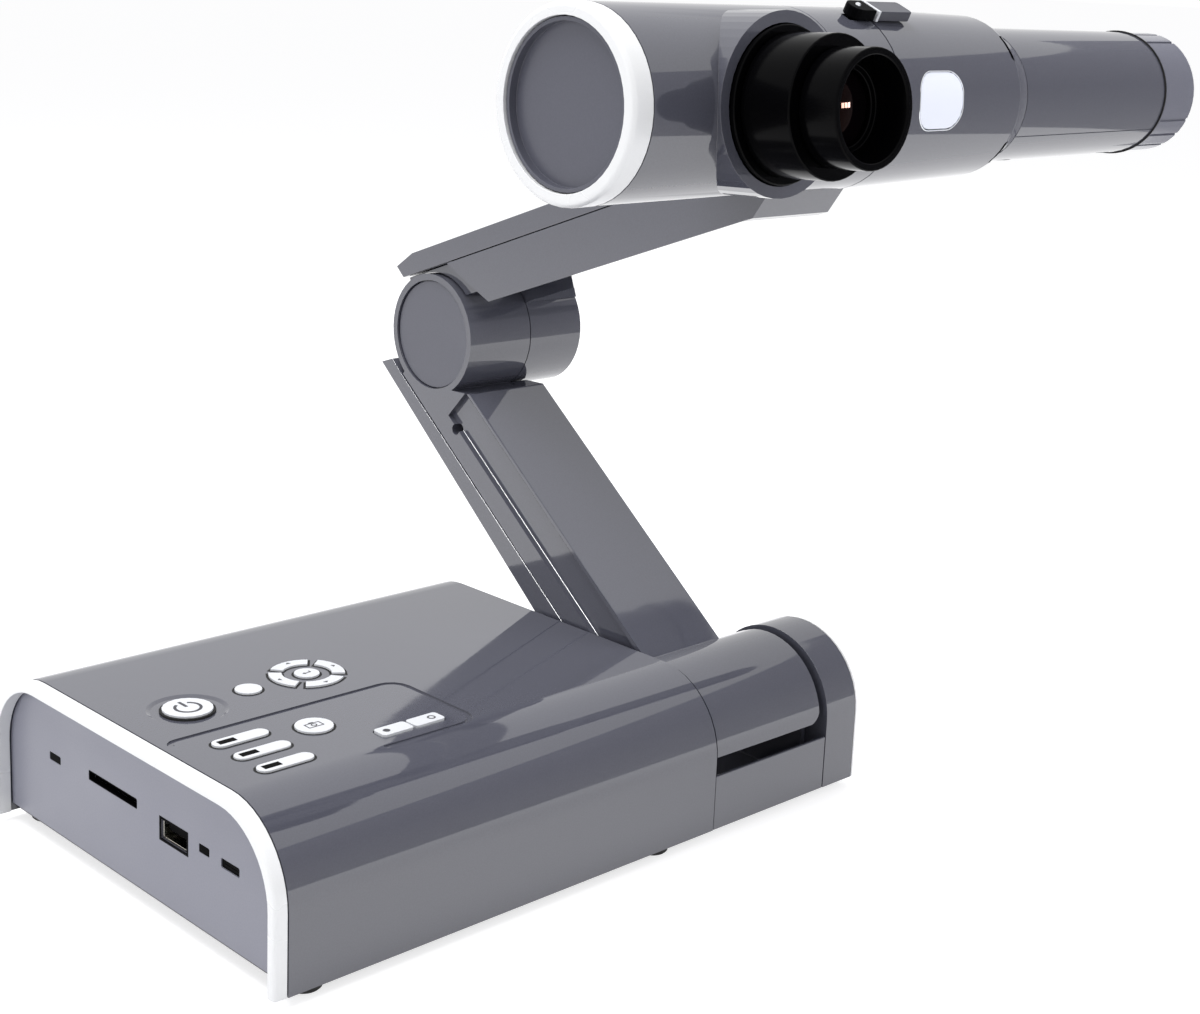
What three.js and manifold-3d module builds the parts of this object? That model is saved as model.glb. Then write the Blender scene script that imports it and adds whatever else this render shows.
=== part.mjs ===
// Desk document camera: a low base with a button panel, a two-link folding arm that is hinged on the
// base's right end, and a tubular camera head that tilts in a collar on the arm's tip.
//
// Millimetres. +X runs along the base from the socket end to the arm hinge, +Y to the back, +Z up.
// Everything is drawn from the base's lower front corner, and the finished group is then moved so that
// its origin is the centre of the footprint of its box, on the surface that the feet stand on.

import * as THREE from 'three';
import { mergeVertices } from 'three/addons/utils/BufferGeometryUtils.js';
import Module from 'manifold-3d';

const wasm = await Module();
wasm.setup();

// Fits that every piece shares
const seam = 0.3;          // gap between two pieces that are fixed together
const runningGap = 0.4;    // gap between two pieces that move past each other
const overrun = 4;         // how far a cutter runs past the wall that it cuts
const arcStep = 7.5;       // degrees between the points of a round outline
const fineArcStep = 22.5;  // the same for small buttons, bores and screws
const cornerStep = 45;     // the same for very small corners
const turnSteps = 48;      // flats round a large turned piece
const fineTurnSteps = 24;  // flats round a small one

// Base casing
const baseDepth = 150;
const baseHeight = 49;
const caseLength = 161;
const edgeRadius = 25.5;
const caseWall = 2.4;
const floorThickness = 2.5;

// Rim and socket panel at the near end
const rimWidth = 3.2;
const rimDepth = 4.2;
const rimRound = 1.2;
const panelThickness = 2.4;

// Hinge at the far end of the base
const hingeLength = 53.5;  // from the case's end to the hinge's end cap
const hingeCapLength = 14.6;
const hingeTrimLength = 1.8;
const hingeTrimRound = 1.5;
const hingeTrimWidth = 3;
const hingePlateThickness = 1.4;
const barrelRadius = 24.6;
const barrelWall = 2.4;
const barrelGap = 2.9;     // between the barrel's far end and the end cap
const barrelCorner = 4.5;
const barrelWeb = 3;
const blockDrop = 31;      // from the case's top down to the block's
const blockFloor = 2;
const blockDiscRadius = 17;
const shaftRadius = 5;
const hubRadius = 9;
const shaftBossLength = 8;

// Arm links, seen from the end: both lie between the same two planes
const linkWidth = 34.4;
const linkLeft = caseLength + 1.3;
const linkRight = linkLeft + linkWidth;
const lowerLength = 164;
const lowerRest = 42.6;    // degrees above level, from the base hinge to the elbow
const lowerFrontRoot = 13;
const lowerFrontTip = -0.5;
const lowerSeamRoot = -9.7;
const lowerSeamTip = -23.2;
const lowerBackRoot = -20.6;
const lowerBackTip = -28.9;
const channelDepth = 2;
const channelTop = 1.6;
const channelBottom = 14.5;

// Elbow
const elbowRadius = 21.4;
const elbowSplitShare = 0.5345;  // of the way from the link's left side to the elbow's right end
const elbowLip = 2.2;
const elbowCapSet = 0.8;
const elbowCapThickness = 1.4;
const elbowShaftRadius = 6;

// Upper link, along its own direction from the elbow
const upperRest = 20;      // degrees above level, from the elbow forwards
const upperBottom = 4.9;
const upperSeam = 22.2;
const upperTop = 29.7;

// Camera head, a tube along X
const headForward = 152.6; // from the elbow's axis to the head's axis
const headRise = 93.3;
const headRadius = 26.6;
const headWall = 2.2;
const headLeftReach = 83.8;      // from the link's left side to the head's left end
const headLift = 2.5;            // degrees that the lens looks up
const ringLength = 7;
const ringWidth = 3.7;
const ringRound = 1.6;
const discSet = 3.5;
const discWall = 1.1;
const discWallSet = 0.9;
const discThickness = 2.4;
const collarLength = 24.5;
const axleRadius = 14;
const axleWall = 3;
const axleFlange = 4.5;
const axleFlangeThickness = 3.4;

// Lens turret on the front of the head
const lensReach = 28.3;          // from the link's left side to the lens's axis
const bossRadius = 25;
const bossProud = 0.9;
const lensBaseRadius = 21.4;
const lensBaseProud = 1.4;
const lensBarrelRadius = 19.3;
const lensBarrelLength = 16.6;
const lensFrontRadius = 15.9;
const lensFrontLength = 12.2;
const lensMouthRadius = 13.9;
const lensThroatRadius = 10;
const glassRadius = 11.6;
const glassRise = 3;

// Right-hand housings of the head
const rightTubeLength = 63.2;    // from the collar to the shoulder
const shoulderRadius = 25.1;
const shoulderRound = 3;
const shoulderTurn = 60;         // degrees of the shoulder's round before the cone
const coneLength = 7;
const gripRadius = 21.3;
const gripEndRadius = 20.7;
const gripLength = 82.9;
const knobLength = 21.3;
const knobRadius = 20.4;
const knobGrooveDepth = 0.6;
const knobGrooveWidth = 1.1;
const knobGroups = 3;            // the grooves stand in groups, for the fingers
const knobGroupTurn = 12;        // degrees forward of the top, to the middle of the first group
const knobGrooveTurns = [-18, 0, 18];
const lampReach = 19.5;          // from the collar to the middle of the lamp
const lampLength = 21;
const lampHeight = 16.4;
const lampCorner = 6;
const lampThickness = 1.8;
const ventReach = 2.4;           // from the shoulder's start back to the middle of a vent
const ventWidth = 2.2;
const ventAngles = [49.5, 130.5, 229.5, 310.5];
const ventArcShare = 0.36;
const pocketLength = 12;
const pocketWidth = 5;
const pocketDepth = 1.2;
const pocketAngle = 170;
const partingWidth = 0.35;
const partingDepth = 0.25;
const partingAngle = 82;
const gripPartingAngle = 123;

// Tilt latch on the top of the head, and the socket that it slides into
const latchAngle = 24;     // degrees forward of the top, about the head's axis
const latchWidth = 7;
const latchLength = 8.6;
const latchRise = 3.3;
const latchTravel = 2.5;
const latchStemLength = 3;
const latchStemWidth = 3;
const latchStemDepth = 3;
const latchSocketLength = 16;

// Push buttons in the top of the base
const buttonProud = 0.6;
const buttonGap = 0.8;
const buttonTravel = 0.8;
const buttonFlange = 0.8;
const buttonFlangeThickness = 1;
const buttonStemRadius = 1.2;
const keypadThickness = 1.6;
const keypadDrop = 3.4;
const keypadPostRadius = 2;

// Feet
const footHeight = 3;
const footRadius = 5;
const footInset = 7.2;
const footEndInset = 10;

// The places that follow from these sizes
const hingeY = edgeRadius;
const hingeZ = baseHeight - edgeRadius;
const hingeCapStart = caseLength + hingeLength;
const hingeEnd = hingeCapStart + hingeCapLength;
const barrelEnd = hingeCapStart - barrelGap;
const trimStart = hingeEnd + seam;
const blockDepth = 2 * edgeRadius;
const blockHeight = baseHeight - blockDrop;
const elbowY = hingeY + lowerLength * Math.cos(THREE.MathUtils.degToRad(lowerRest));
const elbowZ = hingeZ + lowerLength * Math.sin(THREE.MathUtils.degToRad(lowerRest));
const elbowRight = hingeCapStart - seam;
const elbowSplit = linkLeft + (elbowRight - linkLeft) * elbowSplitShare;
const headY = elbowY - headForward;
const headZ = elbowZ + headRise;
const collarEnd = linkLeft + collarLength;
const leftHousingEnd = linkLeft - seam;
const rightHousingStart = collarEnd + seam;
const ringStart = linkLeft - headLeftReach;
const lensCentre = linkLeft - lensReach;
const lampCentre = collarEnd + lampReach;
const shoulderStart = collarEnd + rightTubeLength;
const gripStart = shoulderStart + coneLength;
const gripEnd = gripStart + gripLength;

const alongX = new THREE.Matrix4().makeBasis(
  new THREE.Vector3(0, 1, 0), new THREE.Vector3(0, 0, 1), new THREE.Vector3(1, 0, 0));
const alongY = new THREE.Matrix4().makeBasis(
  new THREE.Vector3(0, 0, 1), new THREE.Vector3(1, 0, 0), new THREE.Vector3(0, 1, 0));
const alongZ = new THREE.Matrix4();
const turnedAlongX = new THREE.Matrix4().makeBasis(
  new THREE.Vector3(0, 0, 1), new THREE.Vector3(1, 0, 0), new THREE.Vector3(0, 1, 0));

// A closed geometry becomes a solid that can be joined and cut.
function solidFrom(geometry, ...matrices) {
  const bare = geometry.index ? geometry.toNonIndexed() : geometry.clone();
  bare.deleteAttribute('normal');
  bare.deleteAttribute('uv');
  for (const matrix of matrices) bare.applyMatrix4(matrix);
  const merged = mergeVertices(bare);
  const kept = [];
  const index = merged.index.array;
  for (let i = 0; i < index.length; i += 3) {
    const [a, b, c] = [index[i], index[i + 1], index[i + 2]];
    if (a !== b && b !== c && c !== a) kept.push(a, b, c);
  }
  return new wasm.Manifold(new wasm.Mesh({
    numProp: 3,
    vertProperties: merged.attributes.position.array,
    triVerts: new Uint32Array(kept),
  }));
}

// Points of an arc, in degrees
function arc(x, y, radius, from, to, step = arcStep) {
  const count = Math.max(1, Math.ceil(Math.abs(to - from) / step));
  return Array.from({ length: count + 1 }, (unused, i) => {
    const angle = THREE.MathUtils.degToRad(from + (to - from) * i / count);
    return [x + radius * Math.cos(angle), y + radius * Math.sin(angle)];
  });
}

function circle(x, y, radius, step = arcStep) {
  return arc(x, y, radius, 0, 360, step).slice(0, -1);
}

// An outline pushed through along an axis. The two coordinates of the outline are the next two axes
// in the order X, Y, Z: Y and Z for a prism along X, Z and X along Y, X and Y along Z.
function prism(axis, points, from, to, ...placed) {
  const shape = new THREE.Shape(points.map(([x, y]) => new THREE.Vector2(x, y)));
  const geometry = new THREE.ExtrudeGeometry(shape, { depth: to - from, bevelEnabled: false });
  geometry.translate(0, 0, from);
  return solidFrom(geometry, axis, ...placed);
}

// A profile of [radius, distance along the axis] points, turned about an axis through a centre
function turned(axis, profile, y, z, steps = turnSteps) {
  const points = profile.map(([radius, along]) => new THREE.Vector2(radius, along));
  const geometry = new THREE.LatheGeometry(points, steps);
  return solidFrom(geometry, axis, new THREE.Matrix4().makeTranslation(0, y, z));
}

// A plain cylinder along X
function rod(y, z, radius, from, to, steps = turnSteps) {
  return turned(turnedAlongX, [[0, from], [radius, from], [radius, to], [0, to]], y, z, steps);
}

// A ring along X, or a tube where it is long
function ring(y, z, inner, outer, from, to, steps = turnSteps) {
  return turned(turnedAlongX,
    [[inner, from], [outer, from], [outer, to], [inner, to], [inner, from]], y, z, steps);
}

// A rectangle with rounded corners, about its centre
function roundedBox(x, y, width, height, radius, step = arcStep) {
  const [left, right] = [x - width / 2 + radius, x + width / 2 - radius];
  const [low, high] = [y - height / 2 + radius, y + height / 2 - radius];
  return [
    ...arc(right, low, radius, -90, 0, step), ...arc(right, high, radius, 0, 90, step),
    ...arc(left, high, radius, 90, 180, step), ...arc(left, low, radius, 180, 270, step),
  ];
}

// An arch with one end rounded over: slices of the convex outline, wrapped together
function roundedArch(back, bottom, start, end, radius, roundEnd) {
  const slice = seam / 4;
  const inward = roundEnd > start ? -1 : 1;
  const slices = arc(0, 0, radius, 0, 90, cornerStep / 2).map(([across, along]) => {
    const at = roundEnd + inward * (radius - along);
    return prism(alongX, arch(back, bottom, radius - across), Math.min(at, at + inward * slice),
      Math.max(at, at + inward * slice));
  });
  const far = roundEnd > start ? start : end;
  slices.push(prism(alongX, arch(back, bottom, 0), Math.min(far, far - inward * slice),
    Math.max(far, far - inward * slice)));
  return wasm.Manifold.hull(slices);
}

function box(x0, x1, y0, y1, z0, z1, ...placed) {
  return prism(alongZ, [[x0, y0], [x1, y0], [x1, y1], [x0, y1]], z0, z1, ...placed);
}

// The base's cross-section, set in by an inset: straight sides under two rounded top edges
function arch(back, bottom, inset) {
  const radius = edgeRadius - inset;
  return [
    [inset, bottom], [back - inset, bottom],
    ...arc(back - edgeRadius, hingeZ, radius, 0, 90),
    ...arc(edgeRadius, hingeZ, radius, 90, 180),
  ];
}

// A line drawn with a pen of some width, as an outline
function stroke(path, width) {
  const side = (sign) => path.map(([x, y], i) => {
    const [x0, y0] = path[Math.max(0, i - 1)];
    const [x1, y1] = path[Math.min(path.length - 1, i + 1)];
    const length = Math.hypot(x1 - x0, y1 - y0);
    return [x - sign * (y1 - y0) * width / 2 / length, y + sign * (x1 - x0) * width / 2 / length];
  });
  return [...side(-1), ...side(1).reverse()];
}

// Turns and moves a link that was drawn lying level from its own pivot.
function placedAt(y, z, degrees) {
  return new THREE.Matrix4().makeTranslation(0, y, z)
    .multiply(new THREE.Matrix4().makeRotationX(THREE.MathUtils.degToRad(degrees)));
}

function finish(color, roughness, metalness = 0) {
  return new THREE.MeshStandardMaterial({ color, roughness, metalness, flatShading: true });
}

const greyPlastic = finish('#6a6a6c', 0.22);
const darkPlastic = finish('#2b2b2d', 0.45);
const lensPlastic = finish('#0b0b0c', 0.15);
const silverTrim = finish('#e4e5e6', 0.3);
const whiteKey = finish('#eceef2', 0.4);
const steel = finish('#b9bcc0', 0.3, 1);
const circuit = finish('#1f5a3a', 0.6);
const rubber = finish('#151515', 0.9);
const glass = finish('#1a1020', 0.05);
const diffuser = finish('#f4f6fb', 0.6);

function meshFrom(name, solid, material) {
  const { vertProperties, triVerts } = solid.getMesh();
  const geometry = new THREE.BufferGeometry();
  geometry.setAttribute('position', new THREE.BufferAttribute(new Float32Array(vertProperties), 3));
  geometry.setIndex(new THREE.BufferAttribute(new Uint32Array(triVerts), 1));
  geometry.computeVertexNormals();
  const mesh = new THREE.Mesh(geometry, material);
  mesh.name = name;
  return mesh;
}

const base = new THREE.Group();
const lowerArm = new THREE.Group();
const upperArm = new THREE.Group();
const head = new THREE.Group();

// Buttons
// Each has an outline, which the case's hole follows with a gap, and a place for its stem.
const keyStep = 18;
const keyLength = 18;
const keyWidth = 5.2;
const keyPitch = 10.8;
const keyFirstX = 20.6;
const keyFirstY = 52.9;
const rockerLength = 10.9;
const rockerWidth = 5.6;
const rockerX = 64;
const rockerY = 32;
const padX = 65;
const padY = 83.4;
const padOuter = 11.6;
const padInner = 7.6;
const padGapDegrees = 16;
const padStep = 12;

const padSegment = (turn, grown) => {
  const half = 45 - padGapDegrees / 2;
  const spread = THREE.MathUtils.radToDeg(grown / padOuter);
  return [
    ...arc(padX, padY, padOuter + grown, turn - half - spread, turn + half + spread, padStep),
    ...arc(padX, padY, padInner - grown, turn + half + spread, turn - half - spread, padStep),
  ];
};
const roundKey = (x, y, radius) => ({
  outline: (grown) => circle(x, y, radius + grown, keyStep),
  stem: [x, y],
});
const longKey = (x, y, length, width, corner = width / 2) => ({
  outline: (grown) => roundedBox(x, y, length + 2 * grown, width + 2 * grown, corner + grown, fineArcStep),
  stem: [x, y],
});
const padKey = (turn) => {
  const reach = (padOuter + padInner) / 2;
  const angle = THREE.MathUtils.degToRad(turn);
  return {
    outline: (grown) => padSegment(turn, grown),
    stem: [padX + reach * Math.cos(angle), padY + reach * Math.sin(angle)],
  };
};
const powerX = 21.4;
const powerY = 81;
const powerRadius = 7.4;
const powerDishRadius = 11.9;
const powerDishSlope = 1.2;
const powerDishDepth = 0.6;
const menuX = 43.6;
const menuY = 83;
const menuRadius = 4.1;
const padCentreRadius = 3.9;
const captureX = 42;
const captureY = 47.8;
const captureRadius = 5.6;
const rockerCorner = 1.2;

const buttons = {
  power_button: roundKey(powerX, powerY, powerRadius),
  menu_button: roundKey(menuX, menuY, menuRadius),
  pad_right: padKey(0),
  pad_up: padKey(90),
  pad_left: padKey(180),
  pad_down: padKey(270),
  pad_centre: roundKey(padX, padY, padCentreRadius),
  capture_button: roundKey(captureX, captureY, captureRadius),
  source_key_1: longKey(keyFirstX, keyFirstY, keyLength, keyWidth),
  source_key_2: longKey(keyFirstX, keyFirstY - keyPitch, keyLength, keyWidth),
  source_key_3: longKey(keyFirstX, keyFirstY - 2 * keyPitch, keyLength, keyWidth),
  zoom_key_out: longKey(rockerX - rockerLength / 2 - seam, rockerY, rockerLength, rockerWidth, rockerCorner),
  zoom_key_in: longKey(rockerX + rockerLength / 2 + seam, rockerY, rockerLength, rockerWidth, rockerCorner),
};

const topInside = baseHeight - caseWall;
const keypadTop = topInside - keypadDrop;
const flangeTop = topInside - seam;
const flangeBottom = flangeTop - buttonFlangeThickness;
for (const [name, { outline, stem: [x, y] }] of Object.entries(buttons)) {
  const isRocker = name.startsWith('zoom_key');
  const flange = isRocker || name.startsWith('pad_') ? buttonGap / 2 : buttonFlange;
  const button = prism(alongZ, outline(0), flangeBottom, baseHeight + buttonProud)
    .add(prism(alongZ, outline(flange - seam / 2), flangeBottom, flangeTop))
    .add(prism(alongZ, circle(x, y, buttonStemRadius, cornerStep),
      keypadTop + buttonTravel + seam, flangeTop));
  base.add(meshFrom(name, button, whiteKey));
}

// The board that the buttons press on hangs from four posts under the top.
const keypadInset = 6;
const keypadLength = 84;
const keypadFront = 27.5;
const keypadWidth = 71;
const keypadX0 = keypadInset;
const keypadX1 = keypadX0 + keypadLength;
const keypadY0 = keypadFront;
const keypadY1 = keypadY0 + keypadWidth;
const keypadPostInset = 4;
const keypadPosts = [
  [keypadX0 + keypadPostInset, keypadY1 - keypadPostInset],
  [keypadX1 - keypadPostInset, keypadY1 - keypadPostInset],
  [keypadX1 - keypadPostInset, (keypadY0 + keypadY1) / 2],
  [captureX, rockerY],
];
base.add(meshFrom('keypad_board',
  box(keypadX0, keypadX1, keypadY0, keypadY1, keypadTop - keypadThickness, keypadTop), circuit));

// Top case
const grooveWidth = 1.8;
const grooveDepth = 0.5;
const grooveCorner = 6;
const grooveX0 = 3;
const grooveX1 = 83;
const grooveReturnX = 49;
const grooveY0 = 24;
const grooveY1 = 63;
const grooveTail = 3;
const groovePath = [
  ...arc(grooveX0 + grooveTail, grooveY1 - grooveTail, grooveTail, 180, 90, fineArcStep),
  ...arc(grooveX1 - grooveCorner, grooveY1 - grooveCorner, grooveCorner, 90, 0, fineArcStep),
  ...arc(grooveX1 - grooveCorner, grooveY0 + grooveCorner, grooveCorner, 0, -90, fineArcStep),
  [grooveReturnX, grooveY0],
];
const shaftInnerEnd = caseLength - caseWall - shaftBossLength;
let topCase = prism(alongX, arch(baseDepth, 0, 0), 0, caseLength)
  .subtract(prism(alongX, arch(baseDepth, -overrun, caseWall), -overrun, caseLength - caseWall))
  .add(rod(hingeY, hingeZ, hubRadius, shaftInnerEnd, caseLength - caseWall / 2))
  .subtract(rod(hingeY, hingeZ, shaftRadius + seam, shaftInnerEnd - overrun, caseLength + overrun))
  .subtract(prism(alongZ, stroke(groovePath, grooveWidth), baseHeight - grooveDepth, baseHeight + overrun))
  .subtract(wasm.Manifold.hull([
    prism(alongZ, circle(powerX, powerY, powerDishRadius - powerDishSlope), baseHeight - powerDishDepth,
      baseHeight),
    prism(alongZ, circle(powerX, powerY, powerDishRadius), baseHeight, baseHeight + overrun),
  ]));
for (const { outline } of Object.values(buttons)) {
  topCase = topCase.subtract(
    prism(alongZ, outline(buttonGap / 2), topInside - overrun, baseHeight + overrun));
}
for (const [x, y] of keypadPosts) {
  topCase = topCase.add(
    prism(alongZ, circle(x, y, keypadPostRadius, fineArcStep), keypadTop + seam, baseHeight - caseWall / 2));
}
base.add(meshFrom('top_case', topCase, greyPlastic));

// Bottom plate, with the posts that carry the main board
const boardTop = 21.9;
const boardThickness = 1.6;
const boardInset = 8;
const boardEndInset = 13;
const boardFront = 40;
const boardX0 = boardInset;
const boardX1 = caseLength - boardEndInset;
const boardY0 = boardFront;
const boardY1 = baseDepth - boardInset;
const boardPostInset = 6;
const boardPostRadius = 3;
const plateInset = caseWall + seam;
let bottomPlate = box(plateInset, caseLength - plateInset, plateInset, baseDepth - plateInset,
  0, floorThickness);
const boardPosts = [boardX0 + boardPostInset, boardX1 - boardPostInset]
  .flatMap((x) => [[x, boardY0 + boardPostInset], [x, boardY1 - boardPostInset]]);
for (const [x, y] of boardPosts) {
  bottomPlate = bottomPlate.add(prism(alongZ, circle(x, y, boardPostRadius, fineArcStep),
    floorThickness / 2, boardTop - boardThickness - seam));
}
base.add(meshFrom('bottom_plate', bottomPlate, greyPlastic));
base.add(meshFrom('main_board',
  box(boardX0, boardX1, boardY0, boardY1, boardTop - boardThickness, boardTop), circuit));

// Steel plate that keeps the base down under the arm
const ballastInset = 26;
const ballastEndInset = 29;
const ballastBackInset = 22;
const ballastX0 = ballastInset;
const ballastX1 = caseLength - ballastEndInset;
const ballastY0 = ballastInset;
const ballastY1 = baseDepth - ballastBackInset;
const ballastThickness = 8;
base.add(meshFrom('ballast_plate', box(ballastX0, ballastX1, ballastY0, ballastY1,
  floorThickness + seam, floorThickness + seam + ballastThickness), steel));

// Rim round the near end, and the socket panel set back inside it
const rim = roundedArch(baseDepth, 0, -seam - rimDepth, -seam, rimRound, -seam - rimDepth)
  .subtract(prism(alongX, arch(baseDepth, -overrun, rimWidth), -overrun - rimDepth, overrun));
base.add(meshFrom('near_rim', rim, silverTrim));

// Each socket's place is a share of the base's depth.
const irShare = 0.8;
const irX = baseDepth * irShare;
const irWidth = 6.4;
const windowHeight = 2.5;
const windowZ = 26.4;
const cardShare = 0.5813;
const cardX = baseDepth * cardShare;
const cardWidth = 26.4;
const cardHeight = 3;
const cardZ = 27.8;
const usbShare = 0.366;
const usbX = baseDepth * usbShare;
const usbWidth = 13.1;
const usbHeight = 5.8;
const usbZ = 25.1;
const usbWall = 0.5;
const usbLength = 15;
const statusShare = 0.2653;
const statusX = baseDepth * statusShare;
const statusWidth = 5;
const lockShare = 0.182;
const lockX = baseDepth * lockShare;
const lockWidth = 8.6;
const lockHeight = 2.7;
const lockZ = 26;
const socketCorner = 0.4;
const panelBack = seam + panelThickness;
const socket = (y, z, width, height, from, to) =>
  prism(alongX, roundedBox(y, z, width, height, socketCorner, cornerStep), from, to);
let panel = prism(alongX, arch(baseDepth, floorThickness + seam, caseWall + seam), seam, panelBack);
const panelHoles = [
  [irX, windowZ, irWidth, windowHeight], [cardX, cardZ, cardWidth, cardHeight],
  [usbX, usbZ, usbWidth + 2 * seam, usbHeight + 2 * seam],
  [statusX, windowZ, statusWidth, windowHeight], [lockX, lockZ, lockWidth, lockHeight],
];
for (const [y, z, width, height] of panelHoles) {
  panel = panel.subtract(socket(y, z, width, height, -overrun, panelBack + overrun));
}
base.add(meshFrom('socket_panel', panel, greyPlastic));

// Sockets behind the panel
const windowInset = 1;
const windowRim = 1.5;
const windowOf = (y, width) =>
  socket(y, windowZ, width - 2 * seam, windowHeight - 2 * seam, windowInset, panelBack + windowRim)
    .add(socket(y, windowZ, width + windowRim, windowHeight + windowRim,
      panelBack + seam, panelBack + windowRim));
base.add(meshFrom('remote_window', windowOf(irX, irWidth), lensPlastic));
base.add(meshFrom('status_window', windowOf(statusX, statusWidth), lensPlastic));

const cardSocketDepth = 27;
const cardSocketWall = 1.5;
const cardSocket = box(panelBack + seam, panelBack + cardSocketDepth, cardX - cardWidth / 2 - cardSocketWall,
  cardX + cardWidth / 2 + cardSocketWall, boardTop + seam, cardZ + cardHeight / 2 + cardSocketWall)
  .subtract(box(-overrun, panelBack + cardSocketDepth - cardSocketWall, cardX - cardWidth / 2,
    cardX + cardWidth / 2, cardZ - cardHeight / 2, cardZ + cardHeight / 2));
base.add(meshFrom('card_socket', cardSocket, darkPlastic));

const usbFront = 1;
const usbTongueHeight = 1.8;
const usbShell = socket(usbX, usbZ, usbWidth, usbHeight, usbFront, usbFront + usbLength)
  .subtract(socket(usbX, usbZ, usbWidth - 2 * usbWall, usbHeight - 2 * usbWall,
    -overrun, usbFront + usbLength + overrun));
base.add(meshFrom('usb_shell', usbShell, steel));
const usbTongue = socket(usbX, usbZ, usbWidth - 2 * usbWall - 2 * seam, usbHeight - 2 * usbWall - 2 * seam,
  usbFront + usbLength - 2 * usbTongueHeight, usbFront + usbLength)
  .add(socket(usbX, usbZ + usbHeight / 2 - usbWall - usbTongueHeight, usbWidth - 2 * usbTongueHeight,
    usbTongueHeight, 2 * usbFront, usbFront + usbLength - usbTongueHeight));
base.add(meshFrom('usb_tongue', usbTongue, darkPlastic));

const lockPlateThickness = 1.2;
const lockPlateMargin = 2.5;
const lockPlate = socket(lockX, lockZ, lockWidth + 2 * lockPlateMargin, lockHeight + 2 * lockPlateMargin,
  panelBack + seam, panelBack + seam + lockPlateThickness)
  .subtract(socket(lockX, lockZ, lockWidth - seam, lockHeight - seam, panelBack - overrun,
    panelBack + overrun));
base.add(meshFrom('lock_plate', lockPlate, steel));

// Feet, pushed onto the bottom plate
const footX0 = footEndInset;
const footX1 = caseLength - 2 * footEndInset;
[[footX0, footInset], [footX1, footInset], [footX0, baseDepth - footInset],
  [footX1, baseDepth - footInset]].forEach(([x, y], i) => {
  base.add(meshFrom(`foot_${i + 1}`,
    prism(alongZ, circle(x, y, footRadius, fineArcStep), -footHeight, -seam), rubber));
});

// Hinge block: the fixed lower front of the hinge, and the disc that closes the barrel's far end
const barrelHollow = barrelRadius + runningGap;
const blockWall = 12;
const blockDiscStart = barrelEnd + runningGap;
const hingeBlock = prism(alongX, [[0, 0], [blockWall, 0], [blockWall, blockHeight], [0, blockHeight]],
  caseLength + seam, hingeCapStart - seam)
  .subtract(rod(hingeY, hingeZ, barrelHollow, caseLength - overrun, hingeCapStart + overrun))
  .add(box(caseLength + seam, hingeCapStart - seam, 0, blockDepth, 0, blockFloor))
  .add(rod(hingeY, hingeZ, blockDiscRadius, blockDiscStart, hingeCapStart - seam))
  .add(box(blockDiscStart, hingeCapStart - seam, hingeY - blockDiscRadius, hingeY + blockDiscRadius,
    blockFloor / 2, hingeZ))
  .subtract(rod(hingeY, hingeZ, shaftRadius + seam, blockDiscStart - overrun, hingeCapStart + overrun));
base.add(meshFrom('hinge_block', hingeBlock, greyPlastic));

const capInside = hingeCapStart + caseWall;
const hingeCap = prism(alongX, arch(blockDepth, 0, 0), hingeCapStart, hingeEnd)
  .subtract(prism(alongX, arch(blockDepth, caseWall, caseWall), capInside, hingeEnd + overrun))
  .add(rod(hingeY, hingeZ, hubRadius, hingeCapStart + caseWall / 2, hingeEnd - caseWall))
  .subtract(rod(hingeY, hingeZ, shaftRadius + seam, hingeCapStart - overrun, hingeEnd + overrun));
base.add(meshFrom('hinge_cap', hingeCap, greyPlastic));
const hingeTrim = roundedArch(blockDepth, 0, trimStart, trimStart + hingeTrimLength, hingeTrimRound,
  trimStart + hingeTrimLength)
  .subtract(prism(alongX, arch(blockDepth, -overrun, hingeTrimWidth), trimStart - overrun,
    trimStart + hingeTrimLength + overrun));
base.add(meshFrom('hinge_trim', hingeTrim, silverTrim));
const hingePlate = prism(alongX, arch(blockDepth, seam, hingeTrimWidth + seam), trimStart,
  trimStart + hingePlateThickness);
base.add(meshFrom('hinge_plate', hingePlate, greyPlastic));
const hingeShaft = rod(hingeY, hingeZ, shaftRadius, shaftInnerEnd, hingeEnd - seam, fineTurnSteps);
base.add(meshFrom('hinge_shaft', hingeShaft, steel));

// Lower link, drawn level from the hinge, then leaned back
const lowerPlace = placedAt(hingeY, hingeZ, lowerRest);
const between = (root, tip, u) => root + (tip - root) * u / lowerLength;
const lowerFront = (u) => [u, between(lowerFrontRoot, lowerFrontTip, u)];
const lowerSeam = (u, drop = 0) => [u, between(lowerSeamRoot, lowerSeamTip, u) - drop];
const lowerBack = (u) => [u, between(lowerBackRoot, lowerBackTip, u)];
const lowerRoot = 20;
const lowerFaceEnd = 136;
const gussetU = 147;
const gussetV = -9;
const lowerOutline = [
  [0, 0], lowerBack(0), lowerBack(lowerRoot), lowerSeam(lowerRoot), lowerSeam(lowerLength),
  [lowerLength, gussetV], [gussetU, gussetV], lowerFront(lowerFaceEnd), lowerFront(lowerRoot),
];
const channelEnd = 138;
const channelStart = 24;
const channelSlope = (u, drop) => [u, lowerFront(u)[1] - drop];
const channelOutline = [
  channelSlope(channelStart, channelBottom), channelSlope(channelEnd, channelBottom),
  channelSlope(channelEnd, channelTop), channelSlope(channelStart, channelTop),
];
const linkWall = 2.4;
const lowerPocketStart = 30;
const lowerPocketEnd = 122;
const lowerPocket = [
  [lowerPocketStart, lowerSeam(lowerPocketStart, overrun)[1]],
  [lowerPocketEnd, lowerSeam(lowerPocketEnd, overrun)[1]],
  [lowerPocketEnd, lowerFront(lowerPocketEnd)[1] - linkWall],
  [lowerPocketStart, lowerFront(lowerPocketStart)[1] - linkWall],
];
const boltU = 132;
const boltV = -13.2;
const boltRadius = 1.6;
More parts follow.
